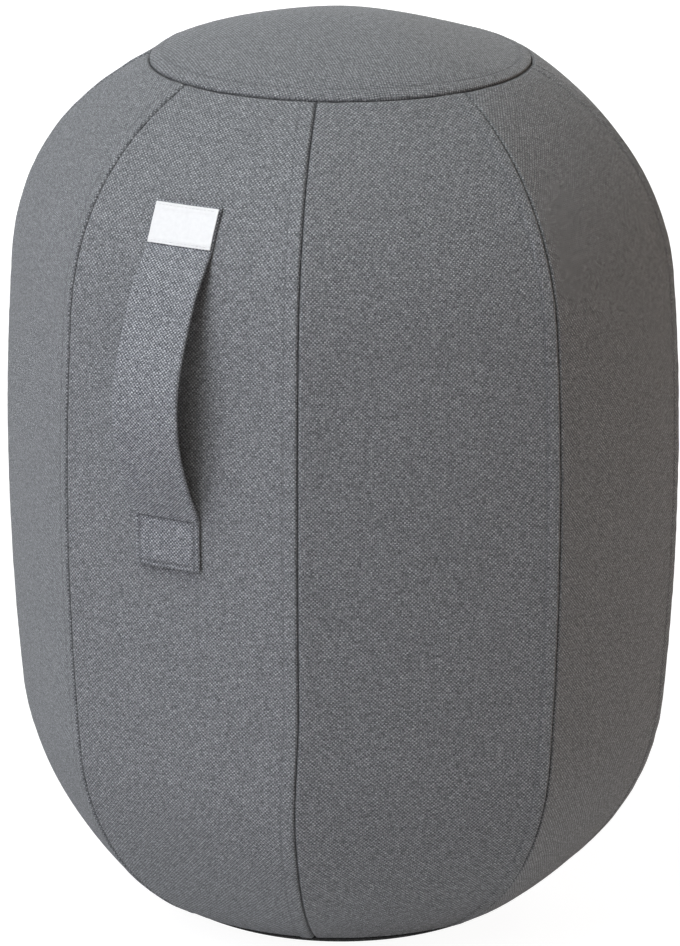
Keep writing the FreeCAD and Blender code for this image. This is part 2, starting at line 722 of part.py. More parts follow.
# The strap's middle line is straight runs joined by arcs. Seen from the side, x is the distance
# from the axis and y the height.
def rounded_line(corners, bends):
    edges = []
    start = corners[0]
    for before, corner, after, bend in zip(corners, corners[1:], corners[2:], bends):
        back = towards(corner, before, 1.0) - corner
        ahead = towards(corner, after, 1.0) - corner
        half = back.getAngle(ahead) / 2
        shorter = min((corner - before).Length, (after - corner).Length)
        reach = min(bend / math.tan(half), shorter * 0.49)
        bend = reach * math.tan(half)
        arc_start = corner + back * reach
        arc_end = corner + ahead * reach
        middle = back + ahead
        middle.normalize()
        peak = corner + middle * (bend / math.sin(half) - bend)
        edges.append(Part.LineSegment(start, arc_start).toShape())
        edges.append(Part.Arc(arc_start, peak, arc_end).toShape())
        start = arc_end
    edges.append(Part.LineSegment(start, corners[-1]).toShape())
    return edges


# A band of one thickness that follows a line seen from the side, laid against the handle panel.
def sewn_band(label, edges, thickness, width):
    band = doc.addObject("Part::Feature", label)
    both_sides = [Part.Wire(edges).makeOffset2D(step, fill=True, openResult=True)
                  for step in (thickness, -thickness)]
    side_face = max(both_sides, key=lambda face: face.CenterOfMass.x)
    upright = Rotation(Vector(1, 0, 0), 90)
    side_face.Placement = Placement(Vector(0, width / 2, 0), upright)
    band.Shape = side_face.extrude(Vector(0, -width, 0))
    band.Label = label
    band.Placement = Placement(Vector(size("handle_offset").value, 0, 0),
                               Rotation(Vector(0, 0, 1), -90))
    return band


# The part of the strap's underside that is sewn down at its upper end follows the panel.
def upper_sewn_arc(lift, low, high):
    centre = middle_line.upper.centre
    radius = middle_line.upper.radius + lift
    points = []
    for height in (low, (low + high) / 2, high):
        rise = height - centre.y
        points.append(point(centre.x + math.sqrt(radius ** 2 - rise ** 2), height))
    return Part.Arc(*points), points


strap_top_height = size("widest_height") + size("strap_top_rise")
label_top = strap_top_height - size("label_top_margin")
label_foot = label_top - size("label_height")
strap_leave_height = label_foot - size("label_low_margin")


def handle_strap():
    lift = size("sewn_clearance").value
    top = strap_top_height.value
    leave = strap_leave_height.value
    meet = (strap_leave_height - size("strap_span")).value
    foot = middle_radius.value + lift
    crest = middle_radius.value + size("strap_rise").value
    sewn, (leave_point, _, _) = upper_sewn_arc(lift, leave, top)
    upper_lean = math.tan(math.radians(size("strap_upper_lean").value))
    lower_lean = math.tan(math.radians(size("strap_lower_lean").value))
    corners = [point(foot, meet - size("strap_tab").value), point(foot, meet),
               point(crest, meet + (crest - foot) / lower_lean),
               point(crest, leave - (crest - leave_point.x) / upper_lean),
               leave_point]
    bends = [size("strap_foot_bend").value, size("strap_lower_bend").value,
             size("strap_upper_bend").value]
    edges = rounded_line(corners, bends) + [sewn.toShape()]
    return sewn_band("handle_strap", edges, size("strap_thickness").value,
                     size("strap_width").value)


def handle_label():
    lift = (size("sewn_clearance") * 2 + size("strap_thickness")).value
    sewn, _ = upper_sewn_arc(lift, label_foot.value, label_top.value)
    return sewn_band("handle_label", [sewn.toShape()], size("label_thickness").value,
                     size("label_width").value)


pieces = [cover_panel(index) for index in range(int(size("panel_count").value))]
pieces.append(top_panel())
pieces.append(base_panel())
bladder, bladder_line = air_bladder()
valve_place = valve_placement(bladder_line)
pieces += [bladder, valve_seat(valve_place), valve_plug(valve_place)]
pieces.append(zip_tape("zip_tape_upper", 1, zip_line.base, zip_line.lower_shoulder_centre,
                       size("zip_tape_width") + half_gap - half_slot))
pieces.append(zip_tape("zip_tape_lower", -1, base_bend.end, base_bend.centre,
                       size("zip_tape_width") + half_gap))
pieces.append(zip_row("zip_coil_upper", 1))
pieces.append(zip_row("zip_coil_lower", -1))
pieces += [zip_stops(), zip_slider(), zip_pull(), handle_strap(), handle_label()]
doc.recompute()

for item in doc.Objects:
    if "Invalid" in item.State or "Error" in item.State:
        raise RuntimeError(f"{item.Name} did not compute: {item.State}")
os.makedirs("parts", exist_ok=True)
for piece in pieces:
    shape = piece.Shape
    if shape.isNull() or not shape.isValid() or not shape.Solids:
        raise RuntimeError(f"{piece.Label} has no sound shape")
    shape.exportStep(f"parts/{piece.Label}.step")
    low, high = shape.BoundBox.ZMin, shape.BoundBox.ZMax
    print(f"{piece.Label}: {len(shape.Solids)} solids, {shape.Volume / 1000:.1f} cm3, "
          f"from {low:.1f} to {high:.1f} mm high")

bar_middle = tilted_placement(0, bar_height)
print("slider travel in degrees:", round(2 * (90 - rest_angle), 2))
print("pull hinge at", bar_middle.Base, "along", bar_middle.Rotation.multVec(Vector(1, 0, 0)))
print("valve mouth at", valve_place.Base)
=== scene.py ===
import bisect
import bmesh
import bpy
import math
from mathutils import Matrix, Vector, noise


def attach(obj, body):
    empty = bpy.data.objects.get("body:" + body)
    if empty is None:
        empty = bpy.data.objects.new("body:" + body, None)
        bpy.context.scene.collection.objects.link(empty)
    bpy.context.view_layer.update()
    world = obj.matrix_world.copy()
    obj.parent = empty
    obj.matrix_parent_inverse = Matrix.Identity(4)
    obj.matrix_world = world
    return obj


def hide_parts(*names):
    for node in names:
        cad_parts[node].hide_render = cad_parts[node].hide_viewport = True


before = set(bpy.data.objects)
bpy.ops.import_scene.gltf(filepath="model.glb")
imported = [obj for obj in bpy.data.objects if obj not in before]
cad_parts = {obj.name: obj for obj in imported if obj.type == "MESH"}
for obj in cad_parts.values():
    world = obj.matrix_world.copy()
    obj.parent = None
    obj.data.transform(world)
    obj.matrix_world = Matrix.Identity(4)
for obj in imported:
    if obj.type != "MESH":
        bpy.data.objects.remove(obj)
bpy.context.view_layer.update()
print("Frame loaded")

# The pillar's own sizes, in metres, that several pieces share. The handle faces -Y, the zip +Y.
pillar = {
    "panels": 8,
    "seamRadius": 0.180,
    "middleRadius": 0.1713,
    "widestHeight": 0.2615,
    "upperBow": 1.170,
    "lowerBow": 1.490,
    "upperShoulder": 0.3547,
    "lowerShoulder": 0.1217,
    "topSeam": (0.1005, 0.4674),
    "crown": 0.4880,
    "topRoll": 0.045,
    "topSlope": 40,
    "baseSeam": (0.0975, 0.013),
    "baseFlat": 0.052,
    "zipSlope": 31.9,
    "zipHalfSpan": 67.5,
    "zipSlot": 0.0036,
}
panelAngle = 360 / pillar["panels"]
zipPanels = (3, 4, 5)
mergeReach = 1e-6


# From 0 at the low value to 1 at the high one, with soft ends.
def smoothStep(low, high, value):
    part = min(max((value - low) / (high - low), 0.0), 1.0)
    return part * part * (3 - 2 * part)


def hump(value, centre, width):
    return math.exp(-((value - centre) / width) ** 2)


def aroundAxis(radius, height, angle):
    return Vector((radius * math.cos(angle), radius * math.sin(angle), height))


def meshFrom(name, bm):
    mesh = bpy.data.meshes.new(name)
    bm.to_mesh(mesh)
    bm.free()
    return mesh


def addObject(name, data):
    item = bpy.data.objects.new(name, data)
    bpy.context.scene.collection.objects.link(item)
    return item


def makePiece(name, bm, material, body="stool"):
    mesh = meshFrom(name, bm)
    mesh.shade_smooth()
    mesh.materials.append(material)
    piece = addObject(name, mesh)
    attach(piece, body)
    return piece


# A flat grid, and each of its corners with its column and row.
def startGrid(columns, rows):
    bm = bmesh.new()
    bmesh.ops.create_grid(bm, x_segments=columns - 1, y_segments=rows - 1, size=1.0)
    # A vertex layer for painted shade, which the cloth materials read.
    paintedShade = bm.verts.layers.float.new("paintedShade")
    return bm, paintedShade, [(vert, round((vert.co.x + 1) / 2 * (columns - 1)),
                         round((vert.co.y + 1) / 2 * (rows - 1))) for vert in bm.verts]


# A line in the half section, turned about the pillar's axis.
def spinLine(points, steps, first=0.0, angle=math.tau):
    bm = bmesh.new()
    verts = [bm.verts.new(aroundAxis(point.x, point.y, first)) for point in points]
    edges = [bm.edges.new(pair) for pair in zip(verts, verts[1:])]
    bmesh.ops.spin(bm, geom=verts + edges, cent=(0, 0, 0), axis=(0, 0, 1), angle=angle,
                   steps=steps, use_merge=angle == math.tau)
    if angle == math.tau:
        bmesh.ops.remove_doubles(bm, verts=bm.verts, dist=mergeReach)
    return bm


# A small shape that is repeated many times: a rounded rod along X, 2 long and 2 thick.
def smallRod(sides, rings):
    bm = bmesh.new()
    bmesh.ops.create_uvsphere(bm, u_segments=sides, v_segments=rings, radius=1.0,
                              matrix=Matrix.Rotation(math.pi / 2, 4, "Y"))
    return meshFrom("smallRod", bm)


def addCopy(bm, shape, place, turn, scale):
    copy = shape.copy()
    copy.transform(Matrix.Translation(place) @ Matrix(turn).transposed().to_4x4()
                   @ Matrix.Diagonal((*scale, 1)))
    bm.from_mesh(copy)
    bpy.data.meshes.remove(copy)


def addSolidify(piece, thickness, offset=-1.0):
    wall = piece.modifiers.new("wall", "SOLIDIFY")
    wall.thickness = thickness
    wall.offset = offset
    wall.use_even_offset = False


# Gives every corner of every face its place on the cloth, in metres.
def layCloth(bm, placeOf):
    layer = bm.loops.layers.uv.new("weave")
    for face in bm.faces:
        for corner in face.loops:
            corner[layer].uv = placeOf[corner.vert]


# An arc in the half section that leaves start along a heading and ends at end, as centre,
# radius, first angle and last angle.
def arcThrough(start, heading, end):
    chord = end - start
    lean = (math.atan2(chord.y, chord.x) - heading + math.pi) % (2 * math.pi) - math.pi
    radius = chord.length / (2 * math.sin(lean))
    centre = start + Vector((-math.sin(heading), math.cos(heading))) * radius
    first = math.atan2(start.y - centre.y, start.x - centre.x)
    return centre, abs(radius), first, first + 2 * lean


def arcPoint(arc, part):
    centre, radius, first, last = arc
    angle = first + (last - first) * part
    return centre + Vector((math.cos(angle), math.sin(angle))) * radius


def arcLength(arc):
    return arc[1] * abs(arc[3] - arc[2])


# The four arcs of the pillar's side, from the base seam up to the top seam.
def sideArcs(radius, base, top=Vector(pillar["topSeam"])):
    widest = Vector((radius, pillar["widestHeight"]))
    low = math.asin((widest.y - pillar["lowerShoulder"]) / pillar["lowerBow"])
    high = math.asin((pillar["upperShoulder"] - widest.y) / pillar["upperBow"])
    lowerSide = (widest - Vector((pillar["lowerBow"], 0)), pillar["lowerBow"], -low, 0.0)
    upperSide = (widest - Vector((pillar["upperBow"], 0)), pillar["upperBow"], 0.0, high)
    foot = arcThrough(arcPoint(lowerSide, 0), -math.pi / 2 - low, base)
    shoulder = arcThrough(arcPoint(upperSide, 1), math.pi / 2 + high, top)
    return [(foot[0], foot[1], foot[3], foot[2]), lowerSide, upperSide, shoulder]


# A line of points that can be asked for the place and the heading at a distance along it.
class Route:
    def __init__(self, points):
        self.points = [Vector(point) for point in points]
        self.marks = [0.0]
        for before, after in zip(self.points, self.points[1:]):
            self.marks.append(self.marks[-1] + (after - before).length)
        self.length = self.marks[-1]

    def at(self, distance):
        distance = min(max(distance, 0.0), self.length)
        low = min(bisect.bisect_right(self.marks, distance) - 1, len(self.marks) - 2)
        part = (distance - self.marks[low]) / (self.marks[low + 1] - self.marks[low])
        step = self.points[low + 1] - self.points[low]
        return self.points[low] + step * part, step.normalized()

    # The distance at which the line, rising (1) or falling (-1), reaches a height.
    def reach(self, height, way, high):
        low = 0.0
        for _ in range(40):
            middle = (low + high) / 2
            below = (self.at(middle)[0].y - height) * way < 0
            low, high = (middle, high) if below else (low, middle)
        return low


def arcRoute(arcs, steps=60):
    points = [arcPoint(arc, step / steps) for arc in arcs for step in range(steps)]
    return Route(points + [arcPoint(arcs[-1], 1)])


# Distances from 0 to a length, close together at both ends and coarse between.
def graded(length, startSteps, endSteps, coarse):
    start = [mark for mark in startSteps if mark < length / 2]
    end = [length - mark for mark in endSteps if mark < length / 2][::-1]
    count = max(1, round((end[0] - start[-1]) / coarse))
    between = [start[-1] + (end[0] - start[-1]) * step / count for step in range(1, count)]
    return start + between + end


# Helpers for materials. Each adds nodes to a tree: addNode gives the node, the others a socket.
def addNode(tree, kind, sockets=None, **settings):
    item = tree.nodes.new("ShaderNode" + kind)
    for name, value in settings.items():
        setattr(item, name, value)
    for name, value in (sockets or {}).items():
        if isinstance(value, bpy.types.NodeSocket):
            tree.links.new(value, item.inputs[name])
        else:
            item.inputs[name].default_value = value
    return item


def calc(tree, operation, *values):
    return addNode(tree, "Math", dict(enumerate(values)), operation=operation).outputs[0]


def blend(tree, part, low, high):
    return addNode(tree, "Mix", {0: part, 2: low, 3: high}, data_type="FLOAT").outputs[0]


def tint(tree, kind, part, first, second):
    item = addNode(tree, "Mix", {0: part, 6: first, 7: second}, data_type="RGBA", blend_type=kind)
    return item.outputs[2]


def ramp(tree, value, stops):
    item = addNode(tree, "ValToRGB", {0: value})
    band = item.color_ramp
    while len(band.elements) < len(stops):
        band.elements.new(0.5)
    for element, (place, colour) in zip(band.elements, stops):
        element.position = place
        element.color = (*colour, 1)
    return item.outputs[0]


def startMaterial(name, shader):
    material = bpy.data.materials.new(name)
    material.use_nodes = True
    tree = material.node_tree
    surface = tree.nodes["Principled BSDF"]
    for socket, value in shader.items():
        surface.inputs[socket].default_value = value
    return material, tree, surface


def finishMaterial(tree, surface, colour, height, depth, strength=1.0):
    tree.links.new(colour, surface.inputs["Base Color"])
    relief = addNode(tree, "Bump", {"Height": height, "Distance": depth, "Strength": strength})
    tree.links.new(relief.outputs[0], surface.inputs["Normal"])


# A plain weave on the piece's own cloth map. Light and dark fibres are mixed in each yarn, and
# the yarns that run across are lighter than those that run along.
def clothMaterial(name, look):
    material, tree, surface = startMaterial(name, look["shader"])
    cloth = addNode(tree, "UVMap", uv_map="weave").outputs[0]
    drift = addNode(tree, "TexNoise", {"Vector": cloth, "Scale": look["driftScale"],
                                       "Detail": 2.0}, noise_dimensions="2D").outputs["Color"]
    centred = addNode(tree, "VectorMath", {0: drift, 1: (0.5, 0.5, 0.5)}, operation="SUBTRACT")
    sway = addNode(tree, "VectorMath", {0: centred.outputs[0], "Scale": look["drift"]},
                   operation="SCALE")
    moved = addNode(tree, "VectorMath", {0: cloth, 1: sway.outputs[0]}, operation="ADD")
    yarns = addNode(tree, "VectorMath", {0: moved.outputs[0], "Scale": 1 / look["yarn"]},
                    operation="SCALE")
    split = addNode(tree, "SeparateXYZ", {0: yarns.outputs[0]})
    across, along = split.outputs[0], split.outputs[1]
    cell = calc(tree, "ADD", calc(tree, "FLOOR", across), calc(tree, "FLOOR", along))
    over = calc(tree, "FLOORED_MODULO", cell, 2.0)

    def crown(place):
        side = calc(tree, "MULTIPLY_ADD", calc(tree, "FRACT", place), 2.0, -1.0)
        return calc(tree, "SUBTRACT", 1.0, calc(tree, "MULTIPLY", side, side))

    wide, tall = crown(across), crown(along)
    upright = calc(tree, "MULTIPLY", wide, calc(tree, "MULTIPLY_ADD", tall, 0.6, 0.4))
    level = calc(tree, "MULTIPLY", tall, calc(tree, "MULTIPLY_ADD", wide, 0.6, 0.4))
    height = blend(tree, over, level, upright)

    def fibres(stretchAcross, stretchAlong, seed):
        place = addNode(tree, "CombineXYZ", {0: calc(tree, "MULTIPLY", across, stretchAcross),
                                             1: calc(tree, "MULTIPLY", along, stretchAlong),
                                             2: seed}).outputs[0]
        return addNode(tree, "TexNoise", {"Vector": place, "Scale": 1.0, "Detail": 2.0,
                                          "Roughness": 0.6}, noise_dimensions="3D").outputs[0]

    streaks = blend(tree, over, fibres(look["fibreLength"], look["fibreWidth"], 3.7),
                    fibres(look["fibreWidth"], look["fibreLength"], 9.2))
    tone = calc(tree, "ADD", streaks, calc(tree, "MULTIPLY_ADD", over, -look["yarnDifference"],
                                           look["yarnDifference"] / 2))
    patches = addNode(tree, "TexNoise", {"Vector": cloth, "Scale": look["patchScale"],
                                         "Detail": 3.0}, noise_dimensions="2D").outputs[0]
    tone = calc(tree, "ADD", tone, calc(tree, "MULTIPLY_ADD", patches, look["patches"],
                                        -look["patches"] / 2))
    colour = ramp(tree, tone, look["yarnColours"])
    # Painted shade: the colour darkens where the weave is low, in the gaps between the yarns.
    paintedGapShade = blend(tree, calc(tree, "POWER", height, 0.6), look["gapShade"], 1.0)
    # Painted shade: a vertex attribute darkens the colour by up to 85 % along the seams, in the
    # stitch furrows and on the strap's underside.
    paintedShade = addNode(tree, "Attribute", attribute_name="paintedShade").outputs["Fac"]
    shade = calc(tree, "MULTIPLY", paintedGapShade, calc(tree, "MULTIPLY_ADD", paintedShade, -0.85, 1.0))
    grey = addNode(tree, "CombineXYZ", {0: shade, 1: shade, 2: shade}).outputs[0]
    colour = tint(tree, "MULTIPLY", 1.0, colour, grey)
    finishMaterial(tree, surface, colour, height, look["relief"])
    return material


coverLook = {
    "yarn": 0.00100,
    "driftScale": 45.0,
    "drift": 0.0012,
    "fibreWidth": 1.9,
    "fibreLength": 0.45,
    "yarnDifference": 0.18,
    "patchScale": 300.0,
    "patches": 0.10,
    "yarnColours": [(0.28, (0.075, 0.078, 0.084)), (0.47, (0.180, 0.186, 0.196)),
                    (0.60, (0.310, 0.320, 0.334)), (0.78, (0.560, 0.570, 0.590))],
    "gapShade": 0.55,
    "relief": 0.00022,
    "shader": {"Roughness": 0.88, "Sheen Weight": 0.12, "Sheen Roughness": 0.45,
               "Specular IOR Level": 0.25},
}
coverFabric = clothMaterial("coverFabric", coverLook)
# The strap is the same cloth as the cover. Its yarns differ more from each other, and its lighter
# yarn colours are painted light.
strapFabric = clothMaterial("strapFabric", {
    **coverLook, "yarn": 0.00096, "driftScale": 60.0, "yarnDifference": 0.22, "patches": 0.08,
    "yarnColours": [(0.30, (0.070, 0.074, 0.083)), (0.47, (0.190, 0.198, 0.215)),
                    (0.60, (0.360, 0.372, 0.397)), (0.74, (0.640, 0.655, 0.685))]})
baseFabric = clothMaterial("baseFabric", {
    **coverLook, "yarn": 0.00130, "yarnDifference": 0.0, "patches": 0.08, "gapShade": 0.35,
    "relief": 0.00030, "shader": {"Roughness": 0.9, "Specular IOR Level": 0.06},
    "yarnColours": [(0.30, (0.006, 0.006, 0.007)), (0.50, (0.014, 0.014, 0.015)),
                    (0.75, (0.030, 0.030, 0.032))]})
tapeFabric = clothMaterial("tapeFabric", {
    **coverLook, "yarn": 0.00060, "yarnDifference": 0.04, "patches": 0.05, "relief": 0.00012,
    "yarnColours": [(0.30, (0.018, 0.019, 0.021)), (0.50, (0.040, 0.041, 0.045)),
                    (0.75, (0.075, 0.077, 0.082))]})


# Sewing thread: two plies that twist round each other.
def threadMaterial(name, dark, light):
    material, tree, surface = startMaterial(name, {"Roughness": 0.62, "Sheen Weight": 0.2})
    place = addNode(tree, "TexCoord").outputs["Object"]
    plies = addNode(tree, "TexWave", {"Vector": place, "Scale": 900.0, "Distortion": 2.0},
                    bands_direction="DIAGONAL").outputs["Fac"]
    colour = ramp(tree, plies, [(0.2, dark), (0.9, light)])
    finishMaterial(tree, surface, colour, plies, 0.00005)
    return material


greyThread = threadMaterial("greyThread", (0.075, 0.077, 0.085), (0.17, 0.175, 0.19))
blackThread = threadMaterial("blackThread", (0.008, 0.008, 0.009), (0.03, 0.03, 0.032))
whiteThread = threadMaterial("whiteThread", (0.55, 0.55, 0.55), (0.80, 0.80, 0.80))


# Woven satin: long white floats across the label, each row offset from the one below.
def satinMaterial():
    material, tree, surface = startMaterial("labelSatin", {"Roughness": 0.42,
                                                           "Sheen Weight": 0.15,
                                                           "Specular IOR Level": 0.5})
    cloth = addNode(tree, "UVMap", uv_map="weave").outputs[0]
    split = addNode(tree, "SeparateXYZ", {0: cloth})
    row = calc(tree, "MULTIPLY", split.outputs[1], 1 / 0.00030)
    shift = calc(tree, "MULTIPLY", calc(tree, "FLOOR", row), 0.4)
    floats = calc(tree, "FRACT", calc(tree, "ADD", shift,
                                      calc(tree, "MULTIPLY", split.outputs[0], 1 / 0.0012)))
    ribs = calc(tree, "PINGPONG", row, 0.5)
    dips = calc(tree, "LESS_THAN", floats, 0.16)
    height = calc(tree, "SUBTRACT", ribs, calc(tree, "MULTIPLY", dips, 0.3))
    wear = addNode(tree, "TexNoise", {"Vector": cloth, "Scale": 400.0, "Detail": 3.0},
                   noise_dimensions="2D").outputs[0]
    # Painted shade: the label is lighter on its raised ribs and darker in the dips between the
    # floats. The noise adds tone that differs at random.
    tone = calc(tree, "ADD", calc(tree, "MULTIPLY", height, 0.5),
                calc(tree, "MULTIPLY", wear, 0.6))
    colour = ramp(tree, tone, [(0.15, (0.70, 0.70, 0.70)), (0.55, (0.76, 0.76, 0.76))])
    finishMaterial(tree, surface, colour, height, 0.00005)
    return material


# Moulded and welded plastics: a faint grain, with a slight change of tone over larger patches.
def plasticMaterial(name, dark, light, grain, shader):
    material, tree, surface = startMaterial(name, shader)
    place = addNode(tree, "TexCoord").outputs["Object"]
    fine = addNode(tree, "TexNoise", {"Vector": place, "Scale": grain, "Detail": 4.0}).outputs[0]
    wide = addNode(tree, "TexNoise", {"Vector": place, "Scale": grain / 40,
                                      "Detail": 2.0}).outputs[0]
    mixed = calc(tree, "ADD", calc(tree, "MULTIPLY", fine, 0.4), calc(tree, "MULTIPLY", wide, 0.6))
    finishMaterial(tree, surface, ramp(tree, mixed, [(0.35, dark), (0.65, light)]), fine, 0.00006)
    return material


bladderVinyl = plasticMaterial("bladderVinyl", (0.20, 0.22, 0.26), (0.27, 0.29, 0.33), 900.0,
                               {"Roughness": 0.38, "Coat Weight": 0.15})
valvePlastic = plasticMaterial("valvePlastic", (0.62, 0.62, 0.60), (0.74, 0.74, 0.72), 1500.0,
                               {"Roughness": 0.35, "Subsurface Weight": 0.05})
coilPlastic = plasticMaterial("coilPlastic", (0.018, 0.018, 0.02), (0.035, 0.035, 0.038), 2500.0,
                              {"Roughness": 0.30})
zipMetal = plasticMaterial("zipMetal", (0.10, 0.10, 0.11), (0.20, 0.20, 0.21), 2200.0,
                           {"Roughness": 0.34, "Metallic": 0.9})
labelSatin = satinMaterial()
print("Materials made")


# The side panels, in metres.
sidePanel = {
    "wall": 0.0011,
    "seamGap": 0.00012,          # half the gap that is left in the seam
    "seamDip": 0.0009,           # how far the cloth turns in at its seams
    "dipWidth": 0.0008,
    "allowance": 0.0080,         # cloth folded back under the right-hand edge
    "allowanceLift": 0.00045,
    "stitchDip": 0.00050,
    "stitchDipWidth": 0.0009,
    "pucker": 0.00030,
    "puckerPitch": 0.0065,
    "puckerReach": 0.011,
    "swell": 0.0007,
    "swellSize": 0.075,
    "rowSpacing": 0.0022,
    "fineEdge": [0, 0.0003, 0.0007, 0.0012, 0.0018, 0.0026, 0.0038, 0.0054, 0.0074],
    "leftMarks": [0, 0.0004, 0.0008, 0.0013, 0.002, 0.003, 0.0043, 0.006, 0.008, 0.0105, 0.0135,
                  0.017, 0.0215, 0.027, 0.0335, 0.041, 0.050, 0.060],
    "rightMarks": [0, 0.0004, 0.0008, 0.0013, 0.002, 0.0028, 0.0037, 0.0047, 0.0057, 0.0066,
                   0.0073, 0.0080, 0.0087, 0.0094, 0.0102, 0.0112, 0.0122, 0.0131, 0.0139, 0.0147,
                   0.0156, 0.0168, 0.0185, 0.021, 0.0245, 0.029, 0.035, 0.042, 0.050, 0.060],
}
baseSeam = Vector(pillar["baseSeam"])
zipRise = Vector((math.cos(math.radians(pillar["zipSlope"])),
                  math.sin(math.radians(pillar["zipSlope"]))))
zipOut = Vector((zipRise.y, -zipRise.x))


# One side panel as a surface. Its section at a height runs through both seams and its middle.
class Panel:
    def __init__(self, index):
        self.index = index
        base = baseSeam + zipRise * pillar["zipSlot"] if index in zipPanels else baseSeam
        self.middle = sideArcs(pillar["middleRadius"], base)
        self.seam = sideArcs(pillar["seamRadius"], base)
        self.facing = math.radians(panelAngle * index - 90)
        self.half = math.radians(panelAngle / 2)
        self.lengths = [arcLength(arc) for arc in self.middle]
        self.length = sum(self.lengths)
        self.sections = {}

    # The places of both seams and of the middle, kept for the next call at the same distance.
    def section(self, distance):
        if distance not in self.sections:
            self.sections[distance] = self.findSection(distance)
        return self.sections[distance]

    def findSection(self, distance):
        distance = min(max(distance, 0.0), self.length)
        arc = 0
        while arc < 3 and distance > self.lengths[arc]:
            distance -= self.lengths[arc]
            arc += 1
        part = min(distance / self.lengths[arc], 1.0)
        seam, middle = arcPoint(self.seam[arc], part), arcPoint(self.middle[arc], part)
        return (aroundAxis(seam.x, seam.y, self.facing - self.half),
                aroundAxis(middle.x, middle.y, self.facing),
                aroundAxis(seam.x, seam.y, self.facing + self.half))

    def halfWidth(self, distance):
        left, _, right = self.section(distance)
        return (right - left).length * 0.506

    def plain(self, across, distance):
        left, middle, right = self.section(distance)
        return (left * (across * (across - 1) / 2) + middle * (1 - across * across)
                + right * (across * (across + 1) / 2))

    def outward(self, across, distance):
        step = 0.0005
        sideways = self.plain(across + 0.004, distance) - self.plain(across - 0.004, distance)
        upward = self.plain(across, distance + step) - self.plain(across, distance - step)
        return sideways.cross(upward).normalized()

    # How far the cloth stands off its plain surface, and how much painted shade darkens it along
    # its seams, at its ends and in the stitch furrow.
    def relief(self, across, distance):
        look = sidePanel
        half = self.halfWidth(distance)
        toLeft, toRight = (1 + across) * half, (1 - across) * half
        toEnd = min(distance, self.length - distance)
        seed = 17.3 * self.index
        dip = max(hump(min(toLeft, toRight), 0, look["dipWidth"]),
                  hump(toEnd, 0, look["dipWidth"]))
        lift = look["allowanceLift"] * (1 - smoothStep(look["allowance"] - 0.0002,
                                                       look["allowance"] + 0.0022, toRight))
        lift *= smoothStep(0.0, 0.0016, toRight)
        furrow = hump(toRight, look["allowance"], look["stitchDipWidth"])
        reach = (math.exp(-toRight / look["puckerReach"])
                 + 0.8 * math.exp(-toLeft / look["puckerReach"]))
        ripple = noise.noise(Vector((distance / look["puckerPitch"], across * 6, seed)))
        if distance > self.length / 2:
            place = self.facing + across * self.half
            reach += 0.9 * math.exp(-toEnd / look["puckerReach"])
            ripple += noise.noise(Vector((place * 0.1 / look["puckerPitch"], 3.1, 8.8))) \
                * math.exp(-toEnd / 0.012)
        swell = noise.noise(Vector((across * half, distance, seed)) / look["swellSize"])
        swell *= smoothStep(0.0, 0.03, min(toLeft, toRight, toEnd))
        height = (lift + look["swell"] * swell + look["pucker"] * reach * ripple
                  - look["seamDip"] * dip - look["stitchDip"] * furrow)
        # Painted shade: darker along both seams, at both ends and in the stitch furrow.
        paintedShade = min(1.0, 0.60 * max(hump(min(toLeft, toRight), 0, 0.0006),
                                     hump(toEnd, 0, 0.0008)) + 0.15 * furrow)
        return height, paintedShade

    def shaped(self, across, distance):
        height, _ = self.relief(across, distance)
        normal = self.outward(across, distance)
        return settle(self.plain(across, distance) + normal * height), normal


# The filled seat isn't quite round: one shoulder is fuller, the far side of the dome lies lower,
# and two of the seams wander a little.
settleLook = {
    "fullSide": math.radians(209.6),
    "full": 0.0024,
    "dipSide": math.radians(45),
    "dip": 0.0034,
    # each wander: the seam's angle, its reach, how far it turns and the heights it fades over
    "wander": [(-22.5, 22, 0.95, 0.50, 0.60), (-67.5, 20, -1.1, 0.09, 0.17)],
}


def towardsSide(point, angle):
    return point.x * math.cos(angle) + point.y * math.sin(angle)


def settle(point):
    look = settleLook
    full = look["full"] * smoothStep(0.02, 0.15, towardsSide(point, look["fullSide"]))
    full *= hump(point.z, 0.425, 0.05)
    dip = look["dip"] * smoothStep(0.015, 0.085, towardsSide(point, look["dipSide"]))
    dip *= smoothStep(0.464, 0.478, point.z)
    turn = 0.0
    angle = math.degrees(math.atan2(point.y, point.x))
    for seam, reach, degrees, low, high in look["wander"]:
        away = (angle - seam + 180) % 360 - 180
        turn += degrees * hump(away, 0, reach) * (1 - smoothStep(low, high, point.z))
    moved = Matrix.Rotation(math.radians(turn), 3, "Z") @ point
    return moved + Vector((math.cos(look["fullSide"]) * full, math.sin(look["fullSide"]) * full,
                           -dip))


panels = [Panel(index) for index in range(pillar["panels"])]


